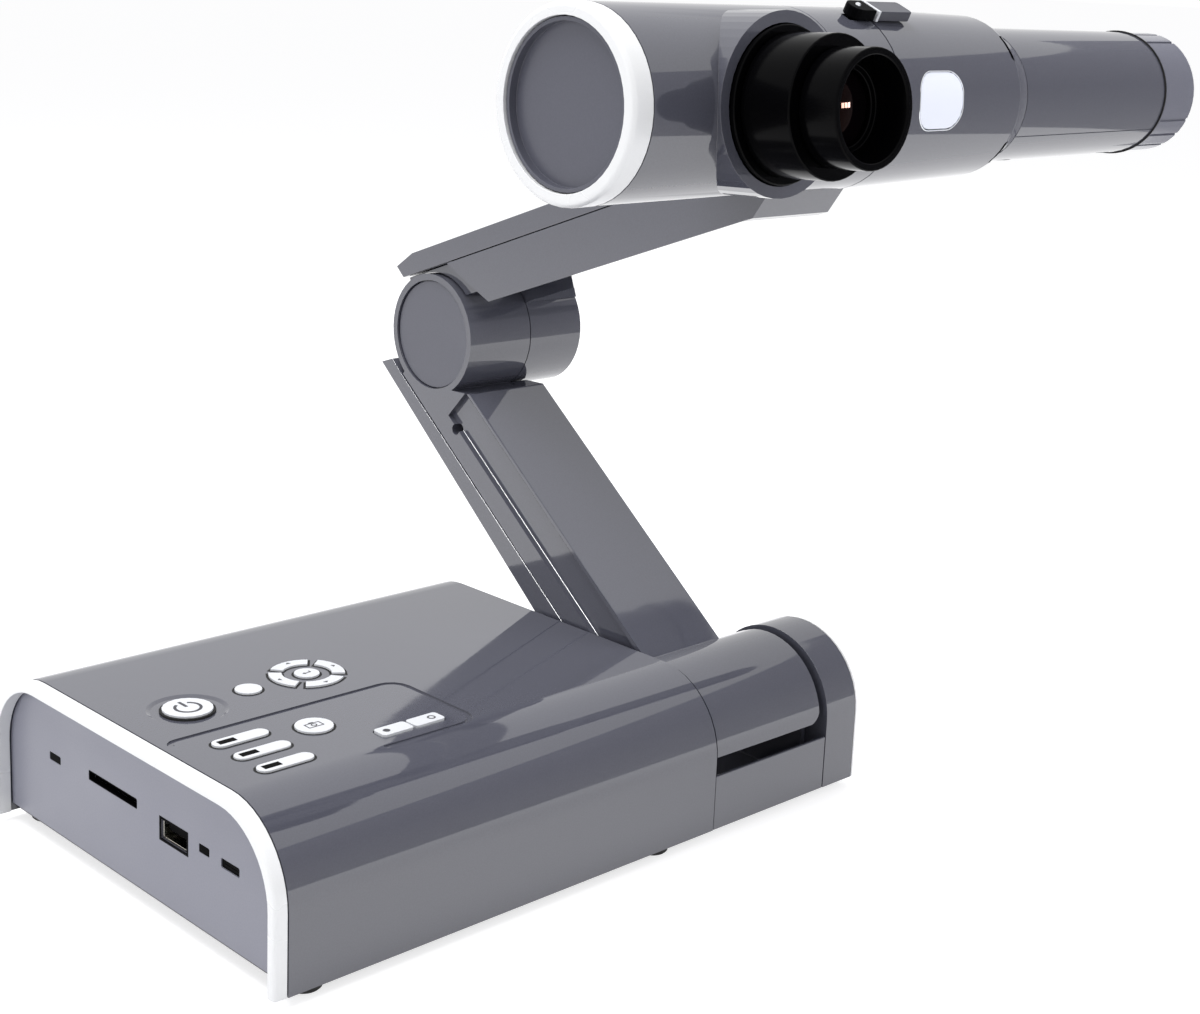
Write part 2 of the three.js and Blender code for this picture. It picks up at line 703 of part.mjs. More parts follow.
const boltDepth = 10;
const boltSet = 5;
const boltPlace = new THREE.Vector3(0, boltU, boltV).applyMatrix4(lowerPlace);

const shellOutline = [
  ...arc(hingeY, hingeZ, barrelRadius, 0, 180), ...arc(hingeY, hingeZ, barrelRadius - barrelWall, 180, 0),
];
const webOutline = [...arc(hingeY, hingeZ, barrelRadius - barrelWall / 2, 0, 180), [hingeY, hingeZ]];
const cornerCut = [
  [hingeZ - overrun, barrelEnd + overrun], [hingeZ - overrun, barrelEnd - barrelCorner],
  ...arc(hingeZ + barrelCorner, barrelEnd - barrelCorner, barrelCorner, 180, 90),
  [hingeZ + barrelCorner, barrelEnd + overrun],
];
let lowerLink = prism(alongX, lowerOutline, linkLeft, linkRight, lowerPlace)
  .add(prism(alongX, shellOutline, linkLeft, barrelEnd));
for (const [from, to] of [[linkLeft, linkLeft + barrelWeb], [linkRight - barrelWeb, barrelEnd]]) {
  lowerLink = lowerLink.add(prism(alongX, webOutline, from, to));
}
const elbowInner = elbowSplit - runningGap / 2;
lowerLink = lowerLink.subtract(prism(alongY, cornerCut, -overrun, hingeY - hubRadius))
  .add(rod(hingeY, hingeZ, hubRadius, linkLeft, barrelEnd))
  .subtract(rod(elbowY, elbowZ, elbowRadius + runningGap, elbowInner, linkRight + overrun))
  .add(rod(elbowY, elbowZ, elbowRadius, linkLeft, elbowInner))
  .subtract(rod(elbowY, elbowZ, elbowRadius - elbowLip, linkLeft - overrun,
    linkLeft + elbowCapSet + elbowCapThickness + seam))
  .subtract(prism(alongX, channelOutline, linkLeft - overrun, linkLeft + channelDepth, lowerPlace))
  .subtract(prism(alongX, lowerPocket, linkLeft + channelDepth + linkWall, linkRight - linkWall, lowerPlace))
  .subtract(rod(boltPlace.y, boltPlace.z, boltRadius + seam, linkLeft - overrun,
    linkLeft + boltSet + boltDepth + seam, fineTurnSteps))
  .subtract(rod(hingeY, hingeZ, shaftRadius + runningGap, linkLeft - overrun, barrelEnd + overrun))
  .subtract(rod(elbowY, elbowZ, elbowShaftRadius + seam, linkLeft - overrun, linkRight));
lowerArm.add(meshFrom('lower_link', lowerLink, greyPlastic));
lowerArm.add(meshFrom('link_screw', rod(boltPlace.y, boltPlace.z, boltRadius, linkLeft + boltSet,
  linkLeft + boltSet + boltDepth, fineTurnSteps), steel));

const coverTipU = 174.8;
const coverTipV = -29.5;
const coverEdgeU = 171.6;
const coverEdgeV = -23.6;
const lowerCoverOutline = [
  lowerSeam(lowerRoot + seam, seam), lowerBack(lowerRoot + seam), [coverTipU, coverTipV],
  [coverEdgeU, coverEdgeV], lowerSeam(lowerLength, seam),
];
const lowerCover = prism(alongX, lowerCoverOutline, linkLeft, linkRight, lowerPlace)
  .subtract(rod(hingeY, hingeZ, barrelRadius + seam, linkLeft - overrun, linkRight + overrun));
lowerArm.add(meshFrom('lower_cover', lowerCover, greyPlastic));

// Elbow: the shaft and the two recessed end discs
const capLeft = linkLeft + elbowCapSet;
lowerArm.add(meshFrom('elbow_disc_left', rod(elbowY, elbowZ, elbowRadius - elbowLip - seam,
  capLeft, capLeft + elbowCapThickness), greyPlastic));
const capRight = elbowRight - elbowCapSet;
lowerArm.add(meshFrom('elbow_shaft', rod(elbowY, elbowZ, elbowShaftRadius,
  capLeft + elbowCapThickness + 2 * seam, capRight - elbowCapThickness - 2 * seam, fineTurnSteps), steel));
upperArm.add(meshFrom('elbow_disc_right', rod(elbowY, elbowZ, elbowRadius - elbowLip - seam,
  capRight - elbowCapThickness, capRight), greyPlastic));

// Upper link, drawn level with its far end at minus X, then tipped up
const upperPlace = placedAt(elbowY, elbowZ, -upperRest);
const forward = (points) => points.map(([reach, height]) => [-reach, height]).reverse();
const upperFaceStart = 33.8;
const upperNeckReach = 20.8;
const upperNeckHeight = 17.3;
const upperHeel = 16;
const toeReach = 157.6;
const toeFrontReach = 163.6;
const toeFrontHeight = 9.1;
const saddleReach = 170;
const saddleHeight = 13.6;
const upperOutline = forward([
  [upperFaceStart, upperBottom], [toeReach, upperBottom], [toeFrontReach, toeFrontHeight],
  [saddleReach, saddleHeight], [saddleReach, upperSeam], [upperHeel, upperSeam],
  [upperNeckReach, upperNeckHeight],
]);
const bracketHeel = -12;
const bracketHeelHeight = 17.5;
const bracketShoulder = -5;
const bracketRoot = 8.7;
const bracketReach = 47;
const bracketEndReach = 22;
const bracketEndBottom = 8;
const bracketOutline = forward([
  [bracketRoot, upperBottom], [bracketReach, upperBottom], [bracketReach, upperSeam],
  [bracketShoulder, upperSeam], [bracketHeel, bracketHeelHeight], [0, 0],
]);
const bracketFront = [
  [elbowSplit, -bracketReach - overrun], [elbowRight + overrun, -bracketReach - overrun],
  [elbowRight + overrun, -bracketEndReach], [elbowRight, -bracketEndReach], [elbowSplit, -bracketReach],
];
const bracketUnder = [
  [upperBottom - overrun, elbowSplit], [upperBottom, elbowSplit], [bracketEndBottom, elbowRight],
  [bracketEndBottom, elbowRight + overrun], [upperBottom - overrun, elbowRight + overrun],
];
const neckInset = 3;
const neckStart = -9.3;
const neckLow = 17;
const neckTurn = 20;
const neckBottom = 10;
const neckEnd = 30;
const neckOutline = forward([
  [neckStart, neckLow], [neckTurn, neckBottom], [neckEnd, neckBottom], [neckEnd, upperSeam],
  [neckStart, upperSeam],
]);
const undercutRise = 6.6;
const undercutStart = 18;
const undercutEnd = 153.6;
const undercut = [
  [upperBottom - overrun, linkLeft], [upperBottom, linkLeft], [upperBottom + undercutRise, linkRight],
  [upperBottom + undercutRise, linkRight + overrun], [upperBottom - overrun, linkRight + overrun],
];
const upperPocketStart = 45;
const upperPocketEnd = 140;
const upperPocket = forward([
  [upperPocketStart, upperBottom + undercutRise + linkWall],
  [upperPocketEnd, upperBottom + undercutRise + linkWall],
  [upperPocketEnd, upperSeam + overrun], [upperPocketStart, upperSeam + overrun],
]);
const saddleRadius = headRadius + seam;
const elbowOuter = elbowSplit + runningGap / 2;
const bracket = prism(alongX, bracketOutline, elbowOuter, elbowRight, upperPlace)
  .subtract(prism(alongZ, bracketFront, -overrun, upperSeam + overrun, upperPlace))
  .subtract(prism(alongY, bracketUnder, -bracketReach - overrun, -elbowRadius, upperPlace));
const upperLink = prism(alongX, upperOutline, linkLeft, linkRight, upperPlace)
  .subtract(prism(alongY, undercut, -undercutEnd, -undercutStart, upperPlace))
  .add(prism(alongX, neckOutline, linkLeft + neckInset, linkRight, upperPlace))
  .subtract(rod(elbowY, elbowZ, elbowRadius + runningGap, linkLeft - overrun, elbowInner + runningGap / 2))
  .add(bracket)
  .add(rod(elbowY, elbowZ, elbowRadius, elbowOuter, elbowRight))
  .subtract(rod(headY, headZ, saddleRadius, linkLeft - overrun, elbowRight))
  .subtract(prism(alongX, upperPocket, linkLeft + linkWall, linkRight - linkWall, upperPlace))
  .subtract(rod(elbowY, elbowZ, elbowRadius - elbowLip,
    capRight - elbowCapThickness - seam, elbowRight + overrun))
  .subtract(rod(elbowY, elbowZ, elbowShaftRadius + runningGap, linkLeft, elbowRight + overrun));
upperArm.add(meshFrom('upper_link', upperLink, greyPlastic));

const upperCoverHeel = -9.3;
const upperCoverTip = -11.8;
const upperCoverTipHeight = 27.1;
const upperCoverShoulder = -1.9;
const upperCoverOutline = forward([
  [upperCoverHeel, upperSeam + seam], [saddleReach, upperSeam + seam], [saddleReach, upperTop],
  [upperCoverShoulder, upperTop], [upperCoverTip, upperCoverTipHeight],
]);
const upperCover = prism(alongX, upperCoverOutline, linkLeft, linkRight, upperPlace)
  .subtract(rod(headY, headZ, saddleRadius, linkLeft - overrun, linkRight + overrun))
  .subtract(prism(alongX, forward([[headForward, -overrun], [2 * headForward, -overrun],
    [2 * headForward, headForward], [headForward, headForward]]), linkLeft - overrun, linkRight + overrun,
  upperPlace));
upperArm.add(meshFrom('upper_cover', upperCover, greyPlastic));

// Latch on the collar, guided by a stem in a slot, and its socket on the right-hand housing
const headTurn = (degrees) => new THREE.Matrix4().makeTranslation(0, headY, headZ)
  .multiply(new THREE.Matrix4().makeRotationX(THREE.MathUtils.degToRad(degrees)));
const latchFoot = headRadius + seam;
const latchStart = collarEnd - latchLength - seam;
const latchOutline = [
  ...arc(latchStart + latchWidth / 2, 0, latchWidth / 2, 90, 270, fineArcStep),
  [collarEnd - seam, -latchWidth / 2], [collarEnd - seam, latchWidth / 2],
];
const latchStemX = latchStart + latchLength / 2;
const latchStem = (ahead, behind, side) => [
  [latchStemX - latchStemLength / 2 - ahead, -latchStemWidth / 2 - side],
  [latchStemX + latchStemLength / 2 + behind, -latchStemWidth / 2 - side],
  [latchStemX + latchStemLength / 2 + behind, latchStemWidth / 2 + side],
  [latchStemX - latchStemLength / 2 - ahead, latchStemWidth / 2 + side],
];
const tiltLatch = prism(alongZ, latchOutline, latchFoot, latchFoot + latchRise, headTurn(latchAngle))
  .add(prism(alongZ, latchStem(0, 0, 0), latchFoot - latchStemDepth, latchFoot + latchRise / 2,
    headTurn(latchAngle)));
upperArm.add(meshFrom('tilt_latch', tiltLatch, greyPlastic));

// Collar that the head turns in, seated in the upper link's saddle
const headCollar = ring(headY, headZ, axleRadius + runningGap, headRadius, linkLeft, collarEnd)
  .subtract(prism(alongZ, latchStem(latchTravel + runningGap, runningGap, runningGap),
    latchFoot - latchStemDepth - runningGap, latchFoot + overrun, headTurn(latchAngle)));
upperArm.add(meshFrom('head_collar', headCollar, greyPlastic));

const latchSocketStart = rightHousingStart + seam;
head.add(meshFrom('latch_socket', prism(alongZ, roundedBox(latchSocketStart + latchSocketLength / 2, 0,
  latchSocketLength, latchWidth, rockerCorner, cornerStep), latchFoot, latchFoot + latchRise - seam,
headTurn(latchAngle)), greyPlastic));

// Left housing of the head, with the lens boss
const housingStart = ringStart + ringLength + seam;
const hollow = headRadius - headWall;
const bossFront = headY - headRadius - bossProud;
const boreRadius = lensBaseRadius + seam;
const lifted = placedAt(headY, headZ, -headLift)
  .multiply(new THREE.Matrix4().makeTranslation(0, -headY, -headZ));
const lensRod = (profile, steps = turnSteps) => solidFrom(
  new THREE.LatheGeometry(profile.map(([radius, y]) => new THREE.Vector2(radius, y)), steps),
  new THREE.Matrix4().makeTranslation(lensCentre, 0, headZ), lifted);
const lensRing = (inner, outer, front, back) =>
  lensRod([[inner, front], [outer, front], [outer, back], [inner, back], [inner, front]]);
const leftHousing = rod(headY, headZ, headRadius, housingStart, leftHousingEnd)
  .add(lensRod([[0, bossFront], [bossRadius, bossFront], [bossRadius, headY], [0, headY]]))
  .subtract(rod(headY, headZ, hollow, housingStart - overrun, leftHousingEnd - headWall, fineTurnSteps))
  .subtract(lensRod([[0, bossFront - overrun], [boreRadius, bossFront - overrun], [boreRadius, headY],
    [0, headY]]))
  .subtract(rod(headY, headZ, axleRadius + seam, housingStart, leftHousingEnd + overrun));
head.add(meshFrom('left_housing', leftHousing, greyPlastic));

const ringInner = headRadius - ringWidth;
const ringEnd = ringStart + ringLength;
const ringProfile = [
  [ringInner, ringStart],
  ...arc(headRadius - ringRound, ringStart + ringRound, ringRound, -90, 0, fineArcStep),
  [headRadius, ringEnd], [ringInner, ringEnd], [ringInner, ringStart],
];
head.add(meshFrom('end_ring', turned(turnedAlongX, ringProfile, headY, headZ), silverTrim));
const discRadius = ringInner - seam;
const endDisc = ring(headY, headZ, discRadius - discWall, discRadius, ringStart + discWallSet,
  ringStart + discSet + discThickness)
  .add(rod(headY, headZ, discRadius - discWall / 2, ringStart + discSet,
    ringStart + discSet + discThickness));
head.add(meshFrom('end_disc', endDisc, greyPlastic));

// Hollow axle that joins the two housings through the collar
const axleStart = leftHousingEnd - headWall - seam - axleFlangeThickness;
const axleEnd = rightHousingStart + headWall + seam + axleFlangeThickness;
const axleInner = axleRadius - axleWall;
const flangeRadius = axleRadius + axleFlange;
const axleProfile = [
  [axleInner, axleStart], [flangeRadius, axleStart], [flangeRadius, axleStart + axleFlangeThickness],
  [axleRadius, axleStart + axleFlangeThickness], [axleRadius, axleEnd - axleFlangeThickness],
  [flangeRadius, axleEnd - axleFlangeThickness], [flangeRadius, axleEnd], [axleInner, axleEnd],
  [axleInner, axleStart],
];
head.add(meshFrom('head_axle', turned(turnedAlongX, axleProfile, headY, headZ, fineTurnSteps), darkPlastic));

// Lens: a base ring in the boss, the barrel, and the front ring round the glass
const lensBaseFront = bossFront - lensBaseProud;
const lensBarrelFront = lensBaseFront - seam - lensBarrelLength;
const lensFront = lensBarrelFront - seam - lensFrontLength;
const lensBaseBack = bossFront + lensFrontLength;
head.add(meshFrom('lens_base',
  lensRing(lensThroatRadius, lensBaseRadius, lensBaseFront, lensBaseBack), lensPlastic));
head.add(meshFrom('lens_barrel', lensRing(lensThroatRadius, lensBarrelRadius, lensBarrelFront,
  lensBaseFront - seam), lensPlastic));
const lensFrontBack = lensBarrelFront - seam;
const glassSeat = lensFrontBack - glassRise;
head.add(meshFrom('lens_front', lensRod([
  [lensMouthRadius, lensFront], [lensFrontRadius, lensFront], [lensFrontRadius, lensFrontBack],
  [lensThroatRadius, lensFrontBack], [lensThroatRadius, glassSeat], [glassRadius + seam, glassSeat],
  [glassRadius + seam, glassSeat - glassRise], [lensMouthRadius, lensFront],
]), lensPlastic));
const glassFront = glassSeat - seam;
const domeSteps = [0, 0.25, 0.5, 0.75, 1];
const domeShare = (share) => Math.sqrt(1 - share * share);
head.add(meshFrom('lens_glass', lensRod([
  ...domeSteps.map((share) => [glassRadius * share, glassFront - glassRise / 2 - glassRise * domeShare(share)]),
  [glassRadius, glassFront], [0, glassFront],
], fineTurnSteps), glass));
const sensorHalf = 9;
const sensorThickness = 1.6;
const sensorFront = lensBaseBack + seam;
head.add(meshFrom('sensor_board', box(lensCentre - 2 * sensorHalf, lensCentre + 2 * sensorHalf,
  sensorFront, sensorFront + sensorThickness, headZ - sensorHalf, headZ + sensorHalf, lifted), circuit));

// Right-hand housing: a drafted tube, a rounded shoulder, and a cone down to the grip
const shoulderProfile = (inset) => [
  [headRadius - inset, rightHousingStart + (inset ? headWall : 0)],
  [shoulderRadius - inset, shoulderStart - shoulderRound],
  ...arc(shoulderRadius - shoulderRound, shoulderStart - shoulderRound, shoulderRound - inset, 0,
    shoulderTurn, shoulderTurn / 3).slice(1),
  [gripRadius - inset, gripStart - (inset ? headWall : 0)],
  [gripRadius - inset, gripStart + (inset ? overrun : 0)],
];
const rightOuter = turned(turnedAlongX, [[0, rightHousingStart], ...shoulderProfile(0), [0, gripStart]],
  headY, headZ);
const rightInner = turned(turnedAlongX, [[0, rightHousingStart + headWall], ...shoulderProfile(headWall),
  [0, gripStart + overrun]], headY, headZ, fineTurnSteps);
const lampOutline = (grown) => roundedBox(headZ, lampCentre, lampHeight + 2 * grown,
  lampLength + 2 * grown, lampCorner + grown, fineArcStep);
const ventLength = headRadius * ventArcShare;
const ventBox = (angle) => prism(alongZ, roundedBox(shoulderStart - ventReach, 0, ventWidth,
  ventLength, ventWidth / 2, cornerStep), gripRadius / 2, headRadius + overrun, headTurn(angle));
// A fine groove along a drafted tube, where the two halves of the mould met
const parting = (angle, from, to, radiusFrom, radiusTo) => prism(alongY, [
  [radiusFrom - partingDepth, from], [radiusTo - partingDepth, to], [headRadius + overrun, to],
  [headRadius + overrun, from],
], -partingWidth / 2, partingWidth / 2, headTurn(angle));
let rightHousing = rightOuter.subtract(rightInner)
  .subtract(rod(headY, headZ, axleRadius + seam, rightHousingStart - overrun, rightHousingStart + overrun))
  .subtract(prism(alongY, lampOutline(seam), headY - headRadius - overrun, headY - axleRadius, lifted));
for (const angle of ventAngles) rightHousing = rightHousing.subtract(ventBox(angle));
rightHousing = rightHousing.subtract(parting(partingAngle, lampCentre + lampLength, shoulderStart, headRadius,
  shoulderRadius));
head.add(meshFrom('right_housing', rightHousing, greyPlastic));

// Lamp: a diffuser flush in the housing, and the board of light-emitting diodes behind it
const lampCore = rod(headY, headZ, shoulderRadius - lampThickness, rightHousingStart - overrun, gripStart);
head.add(meshFrom('lamp_window', rightOuter
  .intersect(prism(alongY, lampOutline(0), headY - headRadius - overrun, headY - axleRadius, lifted))
  .subtract(lampCore), diffuser));
const lampBoardThickness = 1.6;
const lampBoardFront = headY - hollow * Math.cos(Math.PI / 6) + headWall;
const lampBoardSeat = shoulderRadius - headWall - 2 * seam;
const lampBoardHalf = Math.sqrt(lampBoardSeat ** 2 - (headY - lampBoardFront) ** 2);
head.add(meshFrom('lamp_board', box(axleEnd + seam, lampCentre + lampLength / 2,
  lampBoardFront, lampBoardFront + lampBoardThickness, headZ - lampBoardHalf, headZ + lampBoardHalf),
circuit));

// Grip housing, and the ribbed knob on its end
const gripWall = 2.2;
const gripInner = gripEndRadius - gripWall;
let gripHousing = turned(turnedAlongX, [
  [gripInner, gripStart + seam], [gripRadius, gripStart + seam], [gripEndRadius, gripEnd],
  [gripInner, gripEnd], [gripInner, gripStart + seam],
], headY, headZ).subtract(parting(gripPartingAngle, gripStart, gripEnd, gripRadius, gripEndRadius));
for (const middle of [gripStart + pocketLength, gripEnd - pocketLength]) {
  gripHousing = gripHousing.subtract(prism(alongZ, roundedBox(middle, 0, pocketLength, pocketWidth,
    pocketWidth / 2, cornerStep), gripRadius - pocketDepth, headRadius, headTurn(pocketAngle)));
}
head.add(meshFrom('grip_housing', gripHousing, greyPlastic));
const knobStart = gripEnd + runningGap;
const knobEnd = knobStart + knobLength;
const knobSpigot = gripInner - runningGap;
const knobSpigotLength = 8;
const knobCrown = 1.4;
const knobRound = 2;
const knobBore = knobSpigot - gripWall;
let knob = turned(turnedAlongX, [
  [0, knobEnd - gripWall], [knobBore, knobEnd - gripWall], [knobBore, knobStart - knobSpigotLength],
  [knobSpigot, knobStart - knobSpigotLength], [knobSpigot, knobStart], [knobRadius, knobStart],
  [knobRadius, knobEnd - knobRound], [knobRadius - knobRound, knobEnd], [0, knobEnd + knobCrown],
], headY, headZ);
const grooveCutter = (degrees) => prism(alongX, [
  [-knobGrooveWidth / 2, knobRadius - knobGrooveDepth], [knobGrooveWidth / 2, knobRadius - knobGrooveDepth],
  [knobGrooveWidth / 2, knobRadius + overrun], [-knobGrooveWidth / 2, knobRadius + overrun],
], knobStart + knobRound, knobEnd + overrun, headTurn(degrees));
for (let group = 0; group < knobGroups; group += 1) {
  for (const turn of knobGrooveTurns) {
    knob = knob.subtract(grooveCutter(knobGroupTurn + group * 360 / knobGroups + turn));
  }
}
head.add(meshFrom('zoom_knob', knob, greyPlastic));

const group = new THREE.Group();
group.add(base, lowerArm, upperArm, head);
const extent = new THREE.Box3().setFromObject(group);
const middle = extent.getCenter(new THREE.Vector3());
group.position.set(-middle.x, -middle.y, -extent.min.z);

export default group;
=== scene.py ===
import math

import bmesh
import bpy
from mathutils import Matrix, Vector


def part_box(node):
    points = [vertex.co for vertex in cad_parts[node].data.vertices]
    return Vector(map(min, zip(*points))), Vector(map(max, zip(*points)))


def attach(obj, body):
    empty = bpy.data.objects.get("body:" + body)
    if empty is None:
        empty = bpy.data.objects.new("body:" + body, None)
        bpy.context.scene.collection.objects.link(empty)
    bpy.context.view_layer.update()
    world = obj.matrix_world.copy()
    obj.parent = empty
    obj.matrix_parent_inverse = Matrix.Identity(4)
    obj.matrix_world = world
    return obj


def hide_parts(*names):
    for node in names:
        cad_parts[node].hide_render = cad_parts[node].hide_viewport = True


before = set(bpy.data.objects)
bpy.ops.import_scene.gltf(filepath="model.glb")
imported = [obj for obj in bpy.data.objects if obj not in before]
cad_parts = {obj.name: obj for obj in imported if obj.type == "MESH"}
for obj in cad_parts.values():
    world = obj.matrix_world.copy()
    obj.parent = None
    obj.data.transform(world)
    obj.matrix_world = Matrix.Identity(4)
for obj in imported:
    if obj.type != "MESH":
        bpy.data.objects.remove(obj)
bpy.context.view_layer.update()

# Camera
# A short telephoto on a tripod, a little above the camera head and in front of the socket end.
# It is placed from the base's lower front corner, which is where every place below is counted from.
MM = 0.001
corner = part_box("top_case")[0]


def spot(x, y, z):
    """A point given in millimetres from the base's lower front corner, in the frame's metres."""
    return corner + Vector((x, y, z)) * MM


camera_place = (-271.0, -381.7, 263.3)
camera_yaw, camera_pitch, camera_roll = (math.radians(a) for a in (44.45, 12.75, 2.48))
# Measures of the picture in its own pixels: its size, the focal length and the lens axis's height.
image_width, image_height = 1200, 1014
camera_focus = 1970.6
image_centre_y = 411.8
ahead = Vector((math.sin(camera_yaw) * math.cos(camera_pitch),
                math.cos(camera_yaw) * math.cos(camera_pitch), -math.sin(camera_pitch)))
level = Vector((math.cos(camera_yaw), -math.sin(camera_yaw), 0))
down = ahead.cross(level)
aside = math.cos(camera_roll) * level - math.sin(camera_roll) * down
below = math.sin(camera_roll) * level + math.cos(camera_roll) * down
camera_data = bpy.data.cameras.new("photo_camera")
camera_data.sensor_width = 36
camera_data.lens = camera_focus / image_width * camera_data.sensor_width
camera_data.shift_y = (image_centre_y - image_height / 2) / image_width
camera_data.clip_start = 0.01
camera = bpy.data.objects.new("photo_camera", camera_data)
camera.matrix_world = Matrix.Translation(spot(*camera_place)) @ Matrix(
    (aside, -below, -ahead)).transposed().to_4x4()
bpy.context.scene.collection.objects.link(camera)
bpy.context.scene.camera = camera
bpy.context.scene.view_settings.view_transform = "Standard"

# Table and studio light
# A white laminate sheet on a table, under large softboxes and a white tent.
# The tent shows white behind the object and in its gloss, and it lights the object more dimly.


def linear(code):
    """A colour written as an sRGB hex value, as the shaders' linear red, green, blue and alpha."""
    shares = (int(code[i:i + 2], 16) / 255 for i in (1, 3, 5))
    return [s / 12.92 if s <= 0.04045 else ((s + 0.055) / 1.055) ** 2.4 for s in shares] + [1]


def add(tree, kind, settings=None, **inputs):
    """Adds one node: settings are its own properties, inputs are values or sockets to link from."""
    node = tree.nodes.new(kind)
    for key, value in (settings or {}).items():
        setattr(node, key, value)
    for key, value in inputs.items():
        names = {s.name.replace(" ", "_").lower(): s for s in reversed(node.inputs)}
        socket = node.inputs[int(key[1:])] if key[0] == "i" and key[1:].isdigit() else names[key]
        if isinstance(value, bpy.types.NodeSocket):
            tree.links.new(value, socket)
        else:
            socket.default_value = value
    return node


def studio(name, mesh):
    """Stands a plain piece of the studio in the scene, outside the object."""
    piece = bpy.data.objects.new(name, mesh)
    bpy.context.scene.collection.objects.link(piece)
    return piece


world = bpy.data.worlds.new("white_tent")
world.use_nodes = True
world.node_tree.nodes.clear()
tent_light, tent_white = 0.55, 1.0
path = add(world.node_tree, "ShaderNodeLightPath")
seen = add(world.node_tree, "ShaderNodeMath", {"operation": "MAXIMUM"},
           i0=path.outputs["Is Camera Ray"], i1=path.outputs["Is Glossy Ray"])
seen = add(world.node_tree, "ShaderNodeMath", {"operation": "MAXIMUM"},
           i0=seen.outputs[0], i1=path.outputs["Is Transmission Ray"])
tent = add(world.node_tree, "ShaderNodeBackground", color=linear("#ffffff"), strength=tent_light)
backdrop = add(world.node_tree, "ShaderNodeBackground", color=linear("#ffffff"),
               strength=tent_white)
sky = add(world.node_tree, "ShaderNodeMixShader", i0=seen.outputs[0], i1=tent.outputs[0],
          i2=backdrop.outputs[0])
add(world.node_tree, "ShaderNodeOutputWorld", surface=sky.outputs[0])
bpy.context.scene.world = world

floor_half = 30.0
table_lift = 0.66
floor_mesh = bpy.data.meshes.new("table_sheet")
floor_mesh.from_pydata([(-floor_half, -floor_half, 0), (floor_half, -floor_half, 0),
                        (floor_half, floor_half, 0), (-floor_half, floor_half, 0)],
                       [], [(0, 1, 2, 3)])
# White laminate: matt, and lifted to white where a camera or a glossy surface sees it, so that only
# the object's own shadow shows on it.
laminate = bpy.data.materials.new("white_laminate")
laminate.use_nodes = True
laminate.node_tree.nodes.clear()
path = add(laminate.node_tree, "ShaderNodeLightPath")
seen = add(laminate.node_tree, "ShaderNodeMath", {"operation": "MAXIMUM"},
           i0=path.outputs["Is Camera Ray"], i1=path.outputs["Is Glossy Ray"])
matt = add(laminate.node_tree, "ShaderNodeBsdfDiffuse", color=linear("#c8c8ca"))
lift = add(laminate.node_tree, "ShaderNodeEmission", color=linear("#ffffff"), strength=table_lift)
lifted = add(laminate.node_tree, "ShaderNodeAddShader", i0=matt.outputs[0], i1=lift.outputs[0])
sheet = add(laminate.node_tree, "ShaderNodeMixShader", i0=seen.outputs[0], i1=matt.outputs[0],
            i2=lifted.outputs[0])
add(laminate.node_tree, "ShaderNodeOutputMaterial", surface=sheet.outputs[0])
floor_mesh.materials.append(laminate)
studio("table_sheet", floor_mesh)

# A felt curtain hangs round the front right of the table. Only gloss sees it, as the darker band
# between the table's light and the tent's on every round part.
curtain_radius, curtain_height = 0.55, 0.52
curtain_from, curtain_step, curtain_folds = -80, 5, 18
curtain_turns = [math.radians(curtain_from + curtain_step * i) for i in range(curtain_folds)]
curtain_mesh = bpy.data.meshes.new("felt_curtain")
curtain_mesh.from_pydata(
    [(curtain_radius * math.cos(turn), curtain_radius * math.sin(turn), height)
     for turn in curtain_turns for height in (0.0, curtain_height)],
    [], [(2 * i, 2 * i + 1, 2 * i + 3, 2 * i + 2) for i in range(len(curtain_turns) - 1)])
# Wool felt: matt grey, paler near the white table, whose light it catches.
felt_dark_height = 0.3
felt = bpy.data.materials.new("wool_felt")
felt.use_nodes = True
felt.node_tree.nodes.clear()
felt_place = add(felt.node_tree, "ShaderNodeTexCoord").outputs["Object"]
felt_height = add(felt.node_tree, "ShaderNodeSeparateXYZ", vector=felt_place).outputs["Z"]
felt_share = add(felt.node_tree, "ShaderNodeMapRange", value=felt_height, from_min=0.0,
                 from_max=felt_dark_height)
felt_tone = add(felt.node_tree, "ShaderNodeMix", {"data_type": "RGBA"}, i0=felt_share.outputs[0],
                i6=linear("#c4c4c8"), i7=linear("#98989f"))
weave = add(felt.node_tree, "ShaderNodeBsdfDiffuse", color=felt_tone.outputs[2])
add(felt.node_tree, "ShaderNodeOutputMaterial", surface=weave.outputs[0])
curtain_mesh.materials.append(felt)
curtain = studio("felt_curtain", curtain_mesh)
curtain.visible_camera = False
curtain.visible_diffuse = False
curtain.visible_shadow = False


def softbox(name, place, aim, width, height, power):
    """A rectangular area lamp at a place, turned towards a point, both in millimetres."""
    lamp = bpy.data.lights.new(name, "AREA")
    lamp.shape = "RECTANGLE"
    lamp.size, lamp.size_y, lamp.energy = width, height, power
    holder = bpy.data.objects.new(name, lamp)
    holder.matrix_world = Matrix.Translation(spot(*place)) @ (
        spot(*aim) - spot(*place)).to_track_quat("-Z", "Y").to_matrix().to_4x4()
    bpy.context.scene.collection.objects.link(holder)
    return holder


for name, place, aim, width, height, power in (
        ("top_softbox", (-150, 250, 1150), (150, 60, 100), 0.9, 0.6, 11),
        ("left_softbox", (-1200, 100, 450), (100, 60, 120), 0.8, 0.8, 5),
        ("right_softbox", (1037, 460, 969), (180, 60, 230), 0.9, 0.8, 4.5),
        ("front_softbox", (750, -800, 480), (250, 0, 150), 0.9, 0.6, 4.5)):
    softbox(name, place, aim, width, height, power).visible_glossy = False
